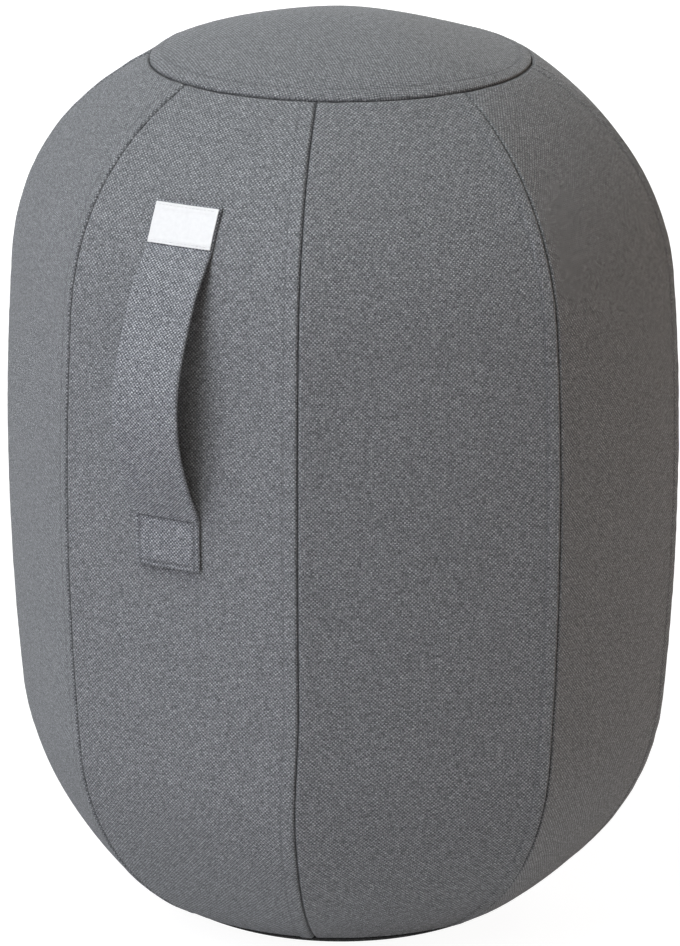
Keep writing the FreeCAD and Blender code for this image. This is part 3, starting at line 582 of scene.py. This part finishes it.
def buildSidePanel(panel):
    look = sidePanel
    rows = graded(panel.length, look["fineEdge"], look["fineEdge"], look["rowSpacing"])
    widest = panel.halfWidth(panel.lengths[0] + panel.lengths[1])
    columns = [mark / widest - 1 for mark in look["leftMarks"]]
    columns += [1 - mark / widest for mark in look["rightMarks"][::-1]]
    bm, paintedShade, spots = startGrid(len(columns), len(rows))
    placeOf = {}
    for vert, column, row in spots:
        across, distance = columns[column], rows[row]
        half = panel.halfWidth(distance)
        # The relief's second value is painted shade for the cloth material, stored on the corner
        # below.
        height, depth = panel.relief(across, distance)
        normal = panel.outward(across, distance)
        side = math.copysign(1.0, across)
        seamAngle = panel.facing + side * panel.half
        inPlane = Vector((-math.sin(seamAngle), math.cos(seamAngle), 0))
        nearSeam = hump((1 - abs(across)) * half, 0, 0.0025)
        normal = (normal - inPlane * normal.dot(inPlane) * nearSeam).normalized()
        inset = -inPlane * side * look["seamGap"] * nearSeam
        vert.co = settle(panel.plain(across, distance) + normal * height + inset)
        vert[paintedShade] = depth
        placeOf[vert] = (across * half + 0.37 * panel.index, distance + 0.113 * panel.index)
    layCloth(bm, placeOf)
    bmesh.ops.recalc_face_normals(bm, faces=bm.faces)
    probe = min(bm.faces, key=lambda face: abs(face.calc_center_median().z - 0.26))
    if probe.normal.dot(Vector((math.cos(panel.facing), math.sin(panel.facing), 0))) < 0:
        bmesh.ops.reverse_faces(bm, faces=bm.faces)
    piece = makePiece(f"sidePanel{panel.index + 1}", bm, coverFabric)
    addSolidify(piece, look["wall"])
    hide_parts(f"cover_panel_{panel.index + 1}")
    return piece


sidePieces = [buildSidePanel(panel) for panel in panels]
print("Side panels made")


# The top panel.
topPanel = {
    "wall": 0.0011,
    "steps": 400,
    "rimInset": 0.0003,
    "edgeMarks": [0, 0.0003, 0.0007, 0.0012, 0.0018, 0.0026, 0.0036, 0.0046, 0.0056, 0.0065,
                  0.0072, 0.0079, 0.0086, 0.0094, 0.0103, 0.0115, 0.013, 0.015],
    "coarse": 0.0032,
    "seamDip": 0.0009,
    "stitchInset": 0.0080,
}


# The half section of the top panel, from its seam to its crown.
def topRoute():
    roll, slope = pillar["topRoll"], math.radians(pillar["topSlope"])
    seam = Vector(pillar["topSeam"]) - Vector((topPanel["rimInset"], 0))
    rollCentre = seam - Vector((math.sin(slope), math.cos(slope))) * roll
    run = seam.x - roll * math.sin(slope)
    drop = pillar["crown"] - seam.y - roll * (1 - math.cos(slope))
    joint = 2 * math.atan2(drop, run)
    dome = run / math.sin(joint) + roll
    quarter = math.pi / 2
    return arcRoute([(rollCentre, roll, quarter - slope, quarter - joint),
                     (Vector((0, pillar["crown"] - dome)), dome, quarter - joint, quarter)])


def topRelief(angle, toSeam, reachIn):
    look, side = topPanel, sidePanel
    dip = hump(toSeam, 0, side["dipWidth"])
    lift = side["allowanceLift"] * smoothStep(0.0, 0.0016, toSeam)
    lift *= 1 - smoothStep(look["stitchInset"] - 0.0002, look["stitchInset"] + 0.0024, toSeam)
    furrow = hump(toSeam, look["stitchInset"], side["stitchDipWidth"])
    ripple = noise.noise(Vector((math.cos(angle), math.sin(angle), 0.4)) * 0.1
                         / side["puckerPitch"])
    spot = Vector((reachIn * math.cos(angle), reachIn * math.sin(angle), 4.7))
    swell = side["swell"] * noise.noise(Vector((spot.x / 0.05, spot.y / 0.05, 4.7)))
    height = (lift + swell * smoothStep(0.0, 0.02, toSeam) - look["seamDip"] * dip
              + side["pucker"] * 1.1 * math.exp(-toSeam / 0.010) * ripple
              - side["stitchDip"] * furrow)
    # The second value is painted shade: darker at the seam and in the stitch furrow.
    return height, min(1.0, 0.7 * hump(toSeam, 0, 0.0008) + 0.15 * furrow)


def topPoint(route, angle, toSeam):
    place, heading = route.at(toSeam)
    height, paintedShade = topRelief(angle, toSeam, place.x)
    normal = Vector((heading.y, -heading.x))
    place = place + normal * height
    return settle(aroundAxis(max(place.x, 0.0), place.y, angle)), paintedShade, \
        aroundAxis(normal.x, normal.y, angle)


# A half section turned into a closed round panel. The shape function gives each place again from
# its angle and its distance to the seam.
def spinPanel(marks, route, steps, shape):
    bm = spinLine([route.at(mark)[0] for mark in marks], steps)
    # A vertex layer for painted shade, which the cloth materials read.
    paintedShade = bm.verts.layers.float.new("paintedShade")
    radii = sorted((route.at(mark)[0].x, mark) for mark in marks)
    placeOf = {}
    for vert in bm.verts:
        radius, angle = math.hypot(vert.co.x, vert.co.y), math.atan2(vert.co.y, vert.co.x)
        spot = bisect.bisect(radii, (radius, 0))
        near = radii[max(0, spot - 1):spot + 1]
        mark = min(near, key=lambda pair: abs(pair[0] - radius))[1]
        vert.co, vert[paintedShade], _ = shape(angle, mark)
        reach = route.length - mark
        placeOf[vert] = (reach * math.cos(angle), reach * math.sin(angle))
    layCloth(bm, placeOf)
    bmesh.ops.recalc_face_normals(bm, faces=bm.faces)
    return bm


def faceWay(bm, way):
    if sum(face.normal.dot(way) * face.calc_area() for face in bm.faces) < 0:
        bmesh.ops.reverse_faces(bm, faces=bm.faces)


crownRoute = topRoute()
marks = graded(crownRoute.length, topPanel["edgeMarks"], [0, 0.003], topPanel["coarse"])
bm = spinPanel(marks, crownRoute, topPanel["steps"],
               lambda angle, mark: topPoint(crownRoute, angle, mark))
faceWay(bm, Vector((0, 0, 1)))
topPiece = makePiece("topPanel", bm, coverFabric)
addSolidify(topPiece, topPanel["wall"])
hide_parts("top_panel")

basePanel = {
    "wall": 0.0014,
    "steps": 360,
    "edgeMarks": [0, 0.0004, 0.0009, 0.0015, 0.0023, 0.0033, 0.0045, 0.0058, 0.007, 0.0079,
                  0.0088, 0.0098, 0.0112, 0.013, 0.0155],
    "coarse": 0.0045,
    "seamDip": 0.0007,
    "stitchInset": 0.0080,
}
bend = arcThrough(Vector((pillar["baseFlat"], 0)), 0.0, baseSeam - Vector((0.0004, 0)))
bendPoints = [arcPoint(bend, 1 - step / 60) for step in range(61)]
footRoute = Route(bendPoints + [Vector((pillar["baseFlat"] * (1 - step / 30), 0))
                                for step in range(1, 31)])


def inZip(angle, ease=0.012):
    away = abs((angle - math.pi / 2 + math.pi) % math.tau - math.pi)
    return 1 - smoothStep(-ease, ease, away - math.radians(pillar["zipHalfSpan"]))


def basePoint(angle, toSeam):
    look = basePanel
    cutBack = pillar["zipSlot"] * inZip(angle)
    mark = cutBack + toSeam * (footRoute.length - cutBack) / footRoute.length
    place, heading = footRoute.at(mark)
    furrow = hump(toSeam, look["stitchInset"], 0.0010) * (1 - inZip(angle))
    lift = look["seamDip"] * hump(toSeam, 0, 0.0011) + 0.0003 * furrow
    inward = Vector((heading.y, -heading.x))
    place = place + inward * lift
    # The second value is painted shade: darker at the seam and in the stitch furrow.
    return aroundAxis(max(place.x, 0.0), max(place.y, 0.00003), angle), \
        min(1.0, 0.6 * hump(toSeam, 0, 0.0012) + 0.2 * furrow), \
        aroundAxis(-inward.x, -inward.y, angle)


marks = graded(footRoute.length, basePanel["edgeMarks"], [0, 0.004], basePanel["coarse"])
bm = spinPanel(marks, footRoute, basePanel["steps"], basePoint)
faceWay(bm, Vector((0, 0, -1)))
basePiece = makePiece("basePanel", bm, baseFabric)
addSolidify(basePiece, basePanel["wall"])
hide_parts("base_panel")
print("Top and base panels made")


# Topstitching: the pitch of a row, the length of a stitch and the radius of the thread.
stitching = {
    "pitch": 0.0034,
    "stitch": 0.0027,
    "thread": 0.00024,
    "lift": 0.00010,
    "baseLift": 0.00008,
    "spacing": 0.003,
    "ringSteps": 240,
    "arcSteps": 160,
}
stitchShape = smallRod(6, 5)


# A row of stitches. Each one lies between two places of the row, on the cloth.
def stitchRow(name, places, material, look=stitching, body="stool"):
    bm = bmesh.new()
    route = Route([place for place, _ in places])
    normals = [normal for _, normal in places]
    count = int(route.length / look["pitch"])
    for index in range(count):
        distance = (index + 0.5) * route.length / count
        place, heading = route.at(distance)
        normal = normals[min(range(len(places)), key=lambda i: abs(route.marks[i] - distance))]
        side = heading.cross(normal).normalized()
        up = side.cross(heading).normalized()
        addCopy(bm, stitchShape, place, (heading, side, up),
                (look["stitch"] / 2, look["thread"], look["thread"]))
    bmesh.ops.recalc_face_normals(bm, faces=bm.faces)
    return makePiece(name, bm, material, body)


for panel in panels:
    places = []
    distance = 0.004
    while distance < panel.length - 0.002:
        across = 1 - sidePanel["allowance"] / panel.halfWidth(distance)
        place, normal = panel.shaped(across, distance)
        places.append((place + normal * stitching["lift"], normal))
        distance += stitching["spacing"]
    stitchRow(f"sideStitching{panel.index + 1}", places, greyThread)

ring = []
for step in range(stitching["ringSteps"] + 1):
    angle = math.tau * step / stitching["ringSteps"]
    place, _, normal = topPoint(crownRoute, angle, topPanel["stitchInset"])
    ring.append((place + normal * stitching["lift"], normal))
stitchRow("topStitching", ring, greyThread)
arcSteps = stitching["arcSteps"]
openArc = math.radians(360 - 2 * pillar["zipHalfSpan"] - 2)
ring = []
for step in range(arcSteps + 1):
    angle = math.pi / 2 + math.radians(pillar["zipHalfSpan"] + 1) + openArc * step / arcSteps
    place, _, normal = basePoint(angle, basePanel["stitchInset"])
    ring.append((place + normal * stitching["baseLift"], normal))
stitchRow("baseStitching", ring, blackThread)
print("Topstitching made")


# The handle strap. Its arch is a curve through the places in front, each a reach and a height.
strap = {
    "offset": -0.004,
    "halfWidth": 0.0190,
    "halfThick": 0.00145,
    "topEnd": 0.4195,
    "leaves": 0.3985,
    "tabTop": 0.2605,
    "tabEnd": 0.2335,
    "front": [(0.1755, 0.3800), (0.1872, 0.3560), (0.1937, 0.3380), (0.1958, 0.3250),
              (0.1949, 0.3110), (0.1920, 0.2985), (0.1876, 0.2865), (0.1828, 0.2760)],
    "flatSteps": 26,
    "turnSteps": 7,
    "rowSpacing": 0.0016,
    "stitchInset": 0.0027,
    "stitchDip": 0.00050,
    "sewnGap": 0.00012,
    "panelFall": (0.0050, 0.0689),  # how far the panel falls away at its seam, and where that is
    "sway": 0.00035,
}
middleRoute = arcRoute(panels[0].middle)


# The panel's middle line at a height, and the way out of it, in the half section.
def panelAt(height):
    place, heading = middleRoute.at(middleRoute.reach(height, 1, middleRoute.length))
    return place, Vector((heading.y, -heading.x))


def strapLine():
    points = []
    for step in range(9):
        height = strap["topEnd"] + (strap["leaves"] - strap["topEnd"]) * step / 8
        place, way = panelAt(height)
        points.append(place + way * (strap["halfThick"] + strap["sewnGap"]))
    firstFree = len(points)
    free = [Vector(spot) - Vector((strap["halfThick"], 0)) for spot in strap["front"]]
    tab = []
    for step in range(7):
        height = strap["tabTop"] + (strap["tabEnd"] - strap["tabTop"]) * step / 6
        place, way = panelAt(height)
        tab.append(place + way * (strap["halfThick"] + strap["sewnGap"]))
    knots = [points[-2], points[-1], *free, tab[0], tab[0] + Vector((0.0, -0.012))]
    for one, two, three, four in zip(knots, knots[1:], knots[2:], knots[3:]):
        for step in range(1, 17):
            t = step / 16
            points.append((two * 2 + (three - one) * t + (one * 2 - two * 5 + three * 4 - four)
                           * t * t + (two * 3 - one - three * 3 + four) * t * t * t) / 2)
    lastFree = len(points)
    points += tab[1:]
    route = Route(points)
    return route, route.marks[firstFree - 1], route.marks[lastFree - 1]


strapRoute, strapLeaves, strapMeets = strapLine()


# A closed band's outline: places across and through it, and the distance round it.
def bandRing(halfWidth, halfThick, flatSteps, turnSteps):
    straight = halfWidth - halfThick
    ring = [(-straight + 2 * straight * step / flatSteps, halfThick) for step in range(flatSteps)]
    for step in range(turnSteps):
        turn = math.pi / 2 - math.pi * step / turnSteps
        ring.append((straight + halfThick * math.cos(turn), halfThick * math.sin(turn)))
    ring += [(-x, -y) for x, y in ring]
    ring.append(ring[0])
    marks = [0.0]
    for before, after in zip(ring, ring[1:]):
        marks.append(marks[-1] + math.dist(before, after))
    return ring, marks


# How far the panel falls away beside its middle line.
def panelFall(x):
    fall, reach = strap["panelFall"]
    return fall * (x / reach) ** 2


def strapPoint(x, through, distance):
    look = strap
    place, heading = strapRoute.at(distance)
    way = Vector((-heading.y, heading.x))
    if way.x < 0:
        way = -way
    sewn = max(1 - smoothStep(strapLeaves - 0.001, strapLeaves + 0.008, distance),
               smoothStep(strapMeets - 0.008, strapMeets + 0.001, distance))
    fall = panelFall(look["offset"] + x) - panelFall(look["offset"])
    place = place + way * through
    return Vector((look["offset"] + x, -(place.x - fall * sewn), place.y)), \
        Vector((0, -way.x, way.y))


def strapFurrow(x, distance):
    look = strap
    fromEnd = strapRoute.length - distance
    fromTop = distance - strapMeets
    inBox = smoothStep(-0.0012, 0.0002, fromTop)
    sides = hump(look["halfWidth"] - abs(x), look["stitchInset"], 0.0008) * inBox
    ends = max(hump(fromEnd, look["stitchInset"], 0.0008), hump(fromTop, 0.0006, 0.0009))
    ends *= smoothStep(look["stitchInset"] - 0.0025, look["stitchInset"],
                       look["halfWidth"] - abs(x))
    return min(1.0, max(sides, ends))


def buildStrap():
    look = strap
    ring, marks = bandRing(look["halfWidth"], look["halfThick"], look["flatSteps"],
                           look["turnSteps"])
    fine = [0, 0.0002, 0.0005, 0.0009, 0.0014, 0.002, 0.0025, 0.003, 0.0036, 0.0045]
    rows = graded(strapRoute.length, fine, fine, look["rowSpacing"])
    rows = sorted(set(rows + [strapMeets + step * 0.0004 for step in range(-5, 6)]))
    bm, paintedShade, spots = startGrid(len(ring), len(rows))
    placeOf = {}
    for vert, column, row in spots:
        (x, through), distance = ring[column], rows[row]
        toEnd = min(distance, strapRoute.length - distance)
        thin = math.sqrt(max(0.03, 1 - max(0.0, 1 - toEnd / look["halfThick"]) ** 2))
        furrow = strapFurrow(x, distance)
        sway = look["sway"] * noise.noise(Vector((x / 0.02, distance / 0.03, 2.0)))
        sway *= smoothStep(strapLeaves, strapLeaves + 0.02, distance)
        sway *= 1 - smoothStep(strapMeets - 0.02, strapMeets, distance)
        depth = through * thin + sway
        if through > 0:
            depth -= look["stitchDip"] * furrow * through / look["halfThick"]
        vert.co, _ = strapPoint(x, depth, distance)
        # Painted shade: the stitch furrows on the strap's face, and its whole underside, which
        # faces the panel.
        vert[paintedShade] = 0.45 * furrow if through > 0 else 0.3
        placeOf[vert] = (marks[column] + 5.0, distance)
    layCloth(bm, placeOf)
    bmesh.ops.remove_doubles(bm, verts=bm.verts, dist=mergeReach)
    bmesh.ops.holes_fill(bm, edges=[edge for edge in bm.edges if edge.is_boundary], sides=0)
    bmesh.ops.recalc_face_normals(bm, faces=bm.faces)
    piece = makePiece("handleStrap", bm, strapFabric)
    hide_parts("handle_strap")


def strapStitches(name, corners, thread, lift, pitch=0.0026):
    places = []
    for (x, distance), (nextX, nextDistance) in zip(corners, corners[1:]):
        steps = max(2, int(math.hypot(nextX - x, nextDistance - distance) / 0.001))
        for step in range(steps):
            part = step / steps
            place, normal = strapPoint(x + (nextX - x) * part,
                                       lift, distance + (nextDistance - distance) * part)
            places.append((place, normal))
    look = {**stitching, "pitch": pitch, "stitch": pitch * 0.8}
    return stitchRow(name, places, thread, look)


buildStrap()
side = strap["halfWidth"] - strap["stitchInset"]
tabFoot = strapRoute.length - strap["stitchInset"]
tabHead = strapMeets + 0.0006
threadLift = strap["halfThick"] - strap["stitchDip"] + strap["sewnGap"]
box = [(-side, tabHead), (side, tabHead), (side, tabFoot), (-side, tabFoot), (-side, tabHead)]
strapStitches("strapStitching", box, greyThread, threadLift)

label = {
    "halfWidth": 0.0185,
    "top": 0.4189,
    "foot": 0.3998,
    "wall": 0.00055,
    "fold": 0.0032,             # how far the folded ends reach under the label
    "stitchInset": 0.0014,
}
labelTop, labelFoot = (strapRoute.reach(label[end], -1, strapLeaves * 1.5)
                       for end in ("top", "foot"))


def buildLabel():
    look = label
    fine = [0, 0.0002, 0.0005, 0.0009, 0.0014, 0.0019, 0.0025, 0.0031, 0.0037]
    rows = graded(labelFoot - labelTop, fine, fine, 0.0010)
    columns = graded(2 * look["halfWidth"], fine, fine, 0.0010)
    bm, _, spots = startGrid(len(columns), len(rows))
    placeOf = {}
    for vert, column, row in spots:
        x, down = columns[column] - look["halfWidth"], rows[row]
        toEnd = min(down, labelFoot - labelTop - down)
        lift = 0.00028 * (1 - smoothStep(look["fold"] - 0.0004, look["fold"] + 0.0006, toEnd))
        lift *= 1 - 0.6 * hump(toEnd, 0, 0.0004)
        lift -= 0.00016 * hump(toEnd, look["stitchInset"], 0.0006)
        lift += 0.00012 * noise.noise(Vector((x / 0.008, down / 0.008, 1.0)))
        vert.co, _ = strapPoint(x, strap["halfThick"] + strap["sewnGap"] + look["wall"] + lift,
                                labelTop + down)
        placeOf[vert] = (x, down)
    layCloth(bm, placeOf)
    bmesh.ops.recalc_face_normals(bm, faces=bm.faces)
    faceWay(bm, Vector((0, -1, 0.5)))
    piece = makePiece("handleLabel", bm, labelSatin)
    addSolidify(piece, look["wall"])
    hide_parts("handle_label")


buildLabel()
inset = label["stitchInset"]
lift = strap["halfThick"] + label["wall"] + 0.00030
ends = label["halfWidth"] - 0.0012
for name, distance in (("labelStitchingTop", labelTop + inset),
                       ("labelStitchingFoot", labelFoot - inset)):
    row = strapStitches(name, [(-ends, distance), (ends, distance)], whiteThread, lift, 0.0022)
print("Handle made")


# The zip, beside the base seam at the back.
zipLook = {
    "rowGap": 0.0007,
    "rowWidth": 0.0024,
    "foot": -0.0019,
    "tapeWall": 0.0006,
    "tapeSteps": 200,
    "underUpper": (0.002, 0.004, 0.0066),
    "underLower": (0.0052, 0.0078, 0.0102),
    "underDepth": 0.0024,
    "toothPitch": 0.0013,
    "toothRadius": 0.00040,
    "stopLength": 0.0040,
}


# A place beside the base seam: across the zip along its slope, and outward from it.
def zipPoint(across, outward, angle):
    place = baseSeam + zipRise * across + zipOut * outward
    return aroundAxis(place.x, place.y, angle)


def buildTape(name, node, side):
    look = zipLook
    if side > 0:
        upperRoute = arcRoute(panels[4].middle)
        under = [upperRoute.at(mark) for mark in look["underUpper"]]
    else:
        under = [footRoute.at(mark) for mark in look["underLower"]]
    profile = [place - Vector((heading.y, -heading.x)) * side * look["underDepth"]
               for place, heading in under]
    near = [baseSeam + zipRise * (side * across) + zipOut * (look["foot"] - 0.0004)
            for across in (look["rowGap"], look["rowGap"] + look["rowWidth"] / 2,
                           look["rowGap"] + look["rowWidth"])]
    profile = near + profile
    half = math.radians(pillar["zipHalfSpan"])
    bm = spinLine(profile, look["tapeSteps"], math.pi / 2 - half, 2 * half)
    placeOf = {}
    for vert in bm.verts:
        angle = math.atan2(vert.co.y, vert.co.x)
        placeOf[vert] = (math.hypot(vert.co.x, vert.co.y), angle * 0.0975)
    layCloth(bm, placeOf)
    bmesh.ops.recalc_face_normals(bm, faces=bm.faces)
    faceWay(bm, Vector((0, 0.5, -1)))
    piece = makePiece(name, bm, tapeFabric)
    addSolidify(piece, look["tapeWall"], 0.0)
    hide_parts(node)


def buildTeeth(name, node, side):
    look = zipLook
    half = math.radians(pillar["zipHalfSpan"]) - (look["stopLength"] + 0.0004) / baseSeam.x
    count = int(2 * half * baseSeam.x / look["toothPitch"])
    bm = bmesh.new()
    middle = look["rowGap"] + look["rowWidth"] / 2
    reach = look["rowWidth"] / 2 + 0.00005
    centre = look["foot"] + look["rowWidth"] * 0.36
    for index in range(count):
        angle = math.pi / 2 - half + 2 * half * (index + (0.5 if side > 0 else 0.25)) / count
        place = zipPoint(side * middle, centre, angle)
        across = (zipPoint(side, 0, angle) - zipPoint(0, 0, angle)).normalized()
        outward = (zipPoint(0, 1, angle) - zipPoint(0, 0, angle)).normalized()
        onward = outward.cross(across)
        for low, tall in ((-0.00042, 0.9), (0.00036, 1.0)):
            addCopy(bm, stitchShape, place + outward * low, (across, onward, outward),
                    (reach, look["toothRadius"], look["toothRadius"] * tall))
    bmesh.ops.recalc_face_normals(bm, faces=bm.faces)
    piece = makePiece(name, bm, coilPlastic)
    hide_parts(node)


buildTape("zipTapeUpper", "zip_tape_upper", 1)
buildTape("zipTapeLower", "zip_tape_lower", -1)
buildTeeth("zipTeethUpper", "zip_coil_upper", 1)
buildTeeth("zipTeethLower", "zip_coil_lower", -1)


# A CAD node that stays keeps its shape, with its edges eased by a modifier.
def finishNode(name, material, ease):
    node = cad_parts[name]
    for slot in node.material_slots:
        slot.material = material
    if not node.material_slots:
        node.data.materials.append(material)
    joined = node.modifiers.new("joined", "WELD")
    joined.merge_threshold = mergeReach
    eased = node.modifiers.new("eased", "BEVEL")
    eased.width = ease
    eased.segments = 3
    eased.limit_method = "ANGLE"
    eased.angle_limit = math.radians(35)
    eased.use_clamp_overlap = True


for name, material, ease in (("zip_stops", zipMetal, 0.00015), ("zip_slider", zipMetal, 0.00018),
                             ("zip_pull", zipMetal, 0.00015), ("valve_seat", valvePlastic, 0.0003),
                             ("valve_plug", valvePlastic, 0.0003)):
    finishNode(name, material, ease)
print("Zip made")


# The air bladder, with its valve at the back.
bladder = {
    "radius": 0.1691,
    "baseCorner": (0.0925, 0.0208),
    "topCorner": (0.0970, 0.4622),
    "floor": 0.0021,
    "crown": 0.4857,
    "wall": 0.0011,
    "steps": 180,
    "weldRise": 0.0004,
    "valveHeight": 0.145,
    "neckRadius": 0.01115,
}


def buildBladder():
    look = bladder
    low, high = Vector(look["baseCorner"]), Vector(look["topCorner"])
    side = arcRoute(sideArcs(look["radius"], low, high), 24)
    slope = math.radians(pillar["zipSlope"] + 2)
    foot = arcThrough(low, math.pi + slope, Vector((0.048, look["floor"])))
    footPoints = [arcPoint(foot, 1 - step / 16) for step in range(16)]
    dome = arcThrough(high, math.pi - 2 * math.atan2(look["crown"] - high.y, high.x),
                      Vector((0, look["crown"])))
    domePoints = [arcPoint(dome, step / 30) for step in range(1, 31)]
    points = [Vector((0, look["floor"])), Vector((0.024, look["floor"])), *footPoints,
              *side.points, *domePoints]
    bm = spinLine(points, look["steps"])
    bmesh.ops.recalc_face_normals(bm, faces=bm.faces)
    for vert in bm.verts:
        weld = max(hump(vert.co.z, low.y + 0.012, 0.0025), hump(vert.co.z, high.y - 0.012, 0.0025))
        vert.co -= vert.normal * look["weldRise"] * (1 - weld)
    piece = makePiece("airBladder", bm, bladderVinyl)
    addSolidify(piece, look["wall"])
    bm = bmesh.new()
    bmesh.ops.create_cone(bm, cap_ends=True, segments=64, radius1=look["neckRadius"],
                          radius2=look["neckRadius"], depth=0.06,
                          matrix=Matrix.Translation((0, 0.155, look["valveHeight"]))
                          @ Matrix.Rotation(math.pi / 2, 4, "X"))
    cutter = addObject("neckHole", meshFrom("neckHole", bm))
    hole = piece.modifiers.new("hole", "BOOLEAN")
    hole.object = cutter
    hole.solver = "EXACT"
    bpy.context.view_layer.update()
    shaped = bpy.data.meshes.new_from_object(
        piece.evaluated_get(bpy.context.evaluated_depsgraph_get()))
    piece.modifiers.clear()
    piece.data = shaped
    bpy.data.objects.remove(cutter)
    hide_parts("air_bladder")
    return piece


bladderPiece = buildBladder()
print("Bladder made")


# How much cloth a side panel takes, cut flat.
def cutArea(panel):
    steps = 100
    return sum(2 * panel.halfWidth(panel.length * (step + 0.5) / steps) * panel.length / steps
               for step in range(steps))


for panel, piece in zip(panels, sidePieces):
    widest = 2 * panel.halfWidth(panel.lengths[0] + panel.lengths[1])
    cutArea(panel)


# The studio: where the camera and the lamps stand.
studio = {
    "aim": (0, 0, 0.2408),
    "distance": 3.6,
    "azimuth": 29.6,
    "elevation": 16.27,
    "lens": 257.06,
    "shift": -0.0013,
    "world": (0.07, 0.07, 0.07),
    # each lamp: azimuth seen from the object, height angle, distance, size, watts, colour
    "lamps": [("keyLamp", -13, 30, 2.4, 1.6, 22.0, (0.86, 0.86, 1.0)),
              ("highLamp", -10, 58, 2.4, 1.6, 42.0, (0.93, 0.98, 0.96)),
              ("warmLamp", 35, 30, 2.4, 1.6, 2.5, (1.0, 0.62, 0.30)),
              ("rimLamp", 132, 5, 2.4, 1.6, 11.0, (1.0, 0.66, 0.42)),
              ("backLamp", 210, 12, 2.6, 1.6, 26.0, (0.95, 0.97, 1.0))],
}


# The camera, also by way of a shine, sees the second shader. The first one is what lights.
def splitRays(tree, lights, shown, output):
    rays = addNode(tree, "LightPath")
    seen = calc(tree, "MAXIMUM", rays.outputs["Is Camera Ray"],
                calc(tree, "MAXIMUM", rays.outputs["Is Glossy Ray"],
                     rays.outputs["Is Transmission Ray"]))
    choice = addNode(tree, "MixShader", {0: seen, 1: lights.outputs[0], 2: shown.outputs[0]})
    tree.links.new(choice.outputs[0], tree.nodes[output].inputs["Surface"])


bm = bmesh.new()
bmesh.ops.create_grid(bm, x_segments=4, y_segments=4, size=6.0)
floorMaterial, tree, surface = startMaterial("floorPaint", {"Roughness": 0.8})
place = addNode(tree, "TexCoord").outputs["Object"]
grain = addNode(tree, "TexNoise", {"Vector": place, "Scale": 3.0, "Detail": 2.0}).outputs[0]
paint = ramp(tree, grain, [(0.3, (0.80, 0.80, 0.80)), (0.7, (0.82, 0.82, 0.82))])
tree.links.new(paint, surface.inputs["Base Color"])
dull = addNode(tree, "BsdfDiffuse", {"Color": (0.25, 0.25, 0.25, 1)})
white = addNode(tree, "Emission", {"Color": (1, 1, 1, 1), "Strength": 0.95})
bright = addNode(tree, "AddShader", {0: dull.outputs[0], 1: white.outputs[0]})
splitRays(tree, surface, bright, "Material Output")
mesh = meshFrom("floor", bm)
mesh.materials.append(floorMaterial)
floor = addObject("floor", mesh)

world = bpy.data.worlds.new("studioAir")
bpy.context.scene.world = world
world.use_nodes = True
tree = world.node_tree
air = tree.nodes["Background"]
air.inputs["Color"].default_value = (*studio["world"], 1)
air.inputs["Strength"].default_value = 1.0
clear = addNode(tree, "Background", {"Color": (1, 1, 1, 1), "Strength": 1.0})
splitRays(tree, air, clear, "World Output")


# A place round the object: azimuth 0 is in front, where the camera would look along +Y.
def roundTheObject(azimuth, elevation, distance):
    turn, rise = math.radians(azimuth), math.radians(elevation)
    way = Vector((math.sin(turn) * math.cos(rise), -math.cos(turn) * math.cos(rise),
                  math.sin(rise)))
    return Vector(studio["aim"]) + way * distance, way


def lookFrom(item, azimuth, elevation, distance):
    place, way = roundTheObject(azimuth, elevation, distance)
    item.location = place
    item.rotation_euler = way.to_track_quat("Z", "Y").to_euler()


for name, azimuth, elevation, distance, across, watts, colour in studio["lamps"]:
    lamp = bpy.data.lights.new(name, "AREA")
    lamp.shape = "DISK"
    lamp.size = across
    lamp.energy = watts
    lamp.color = colour
    lookFrom(addObject(name, lamp), azimuth, elevation, distance)

lens = bpy.data.cameras.new("camera")
lens.lens = studio["lens"]
lens.sensor_width = 36
lens.sensor_fit = "AUTO"
lens.shift_x = studio["shift"]
camera = addObject("camera", lens)
lookFrom(camera, studio["azimuth"], studio["elevation"], studio["distance"])
bpy.context.scene.camera = camera
bpy.context.scene.view_settings.view_transform = "Standard"
print("Studio made")

bpy.context.view_layer.update()
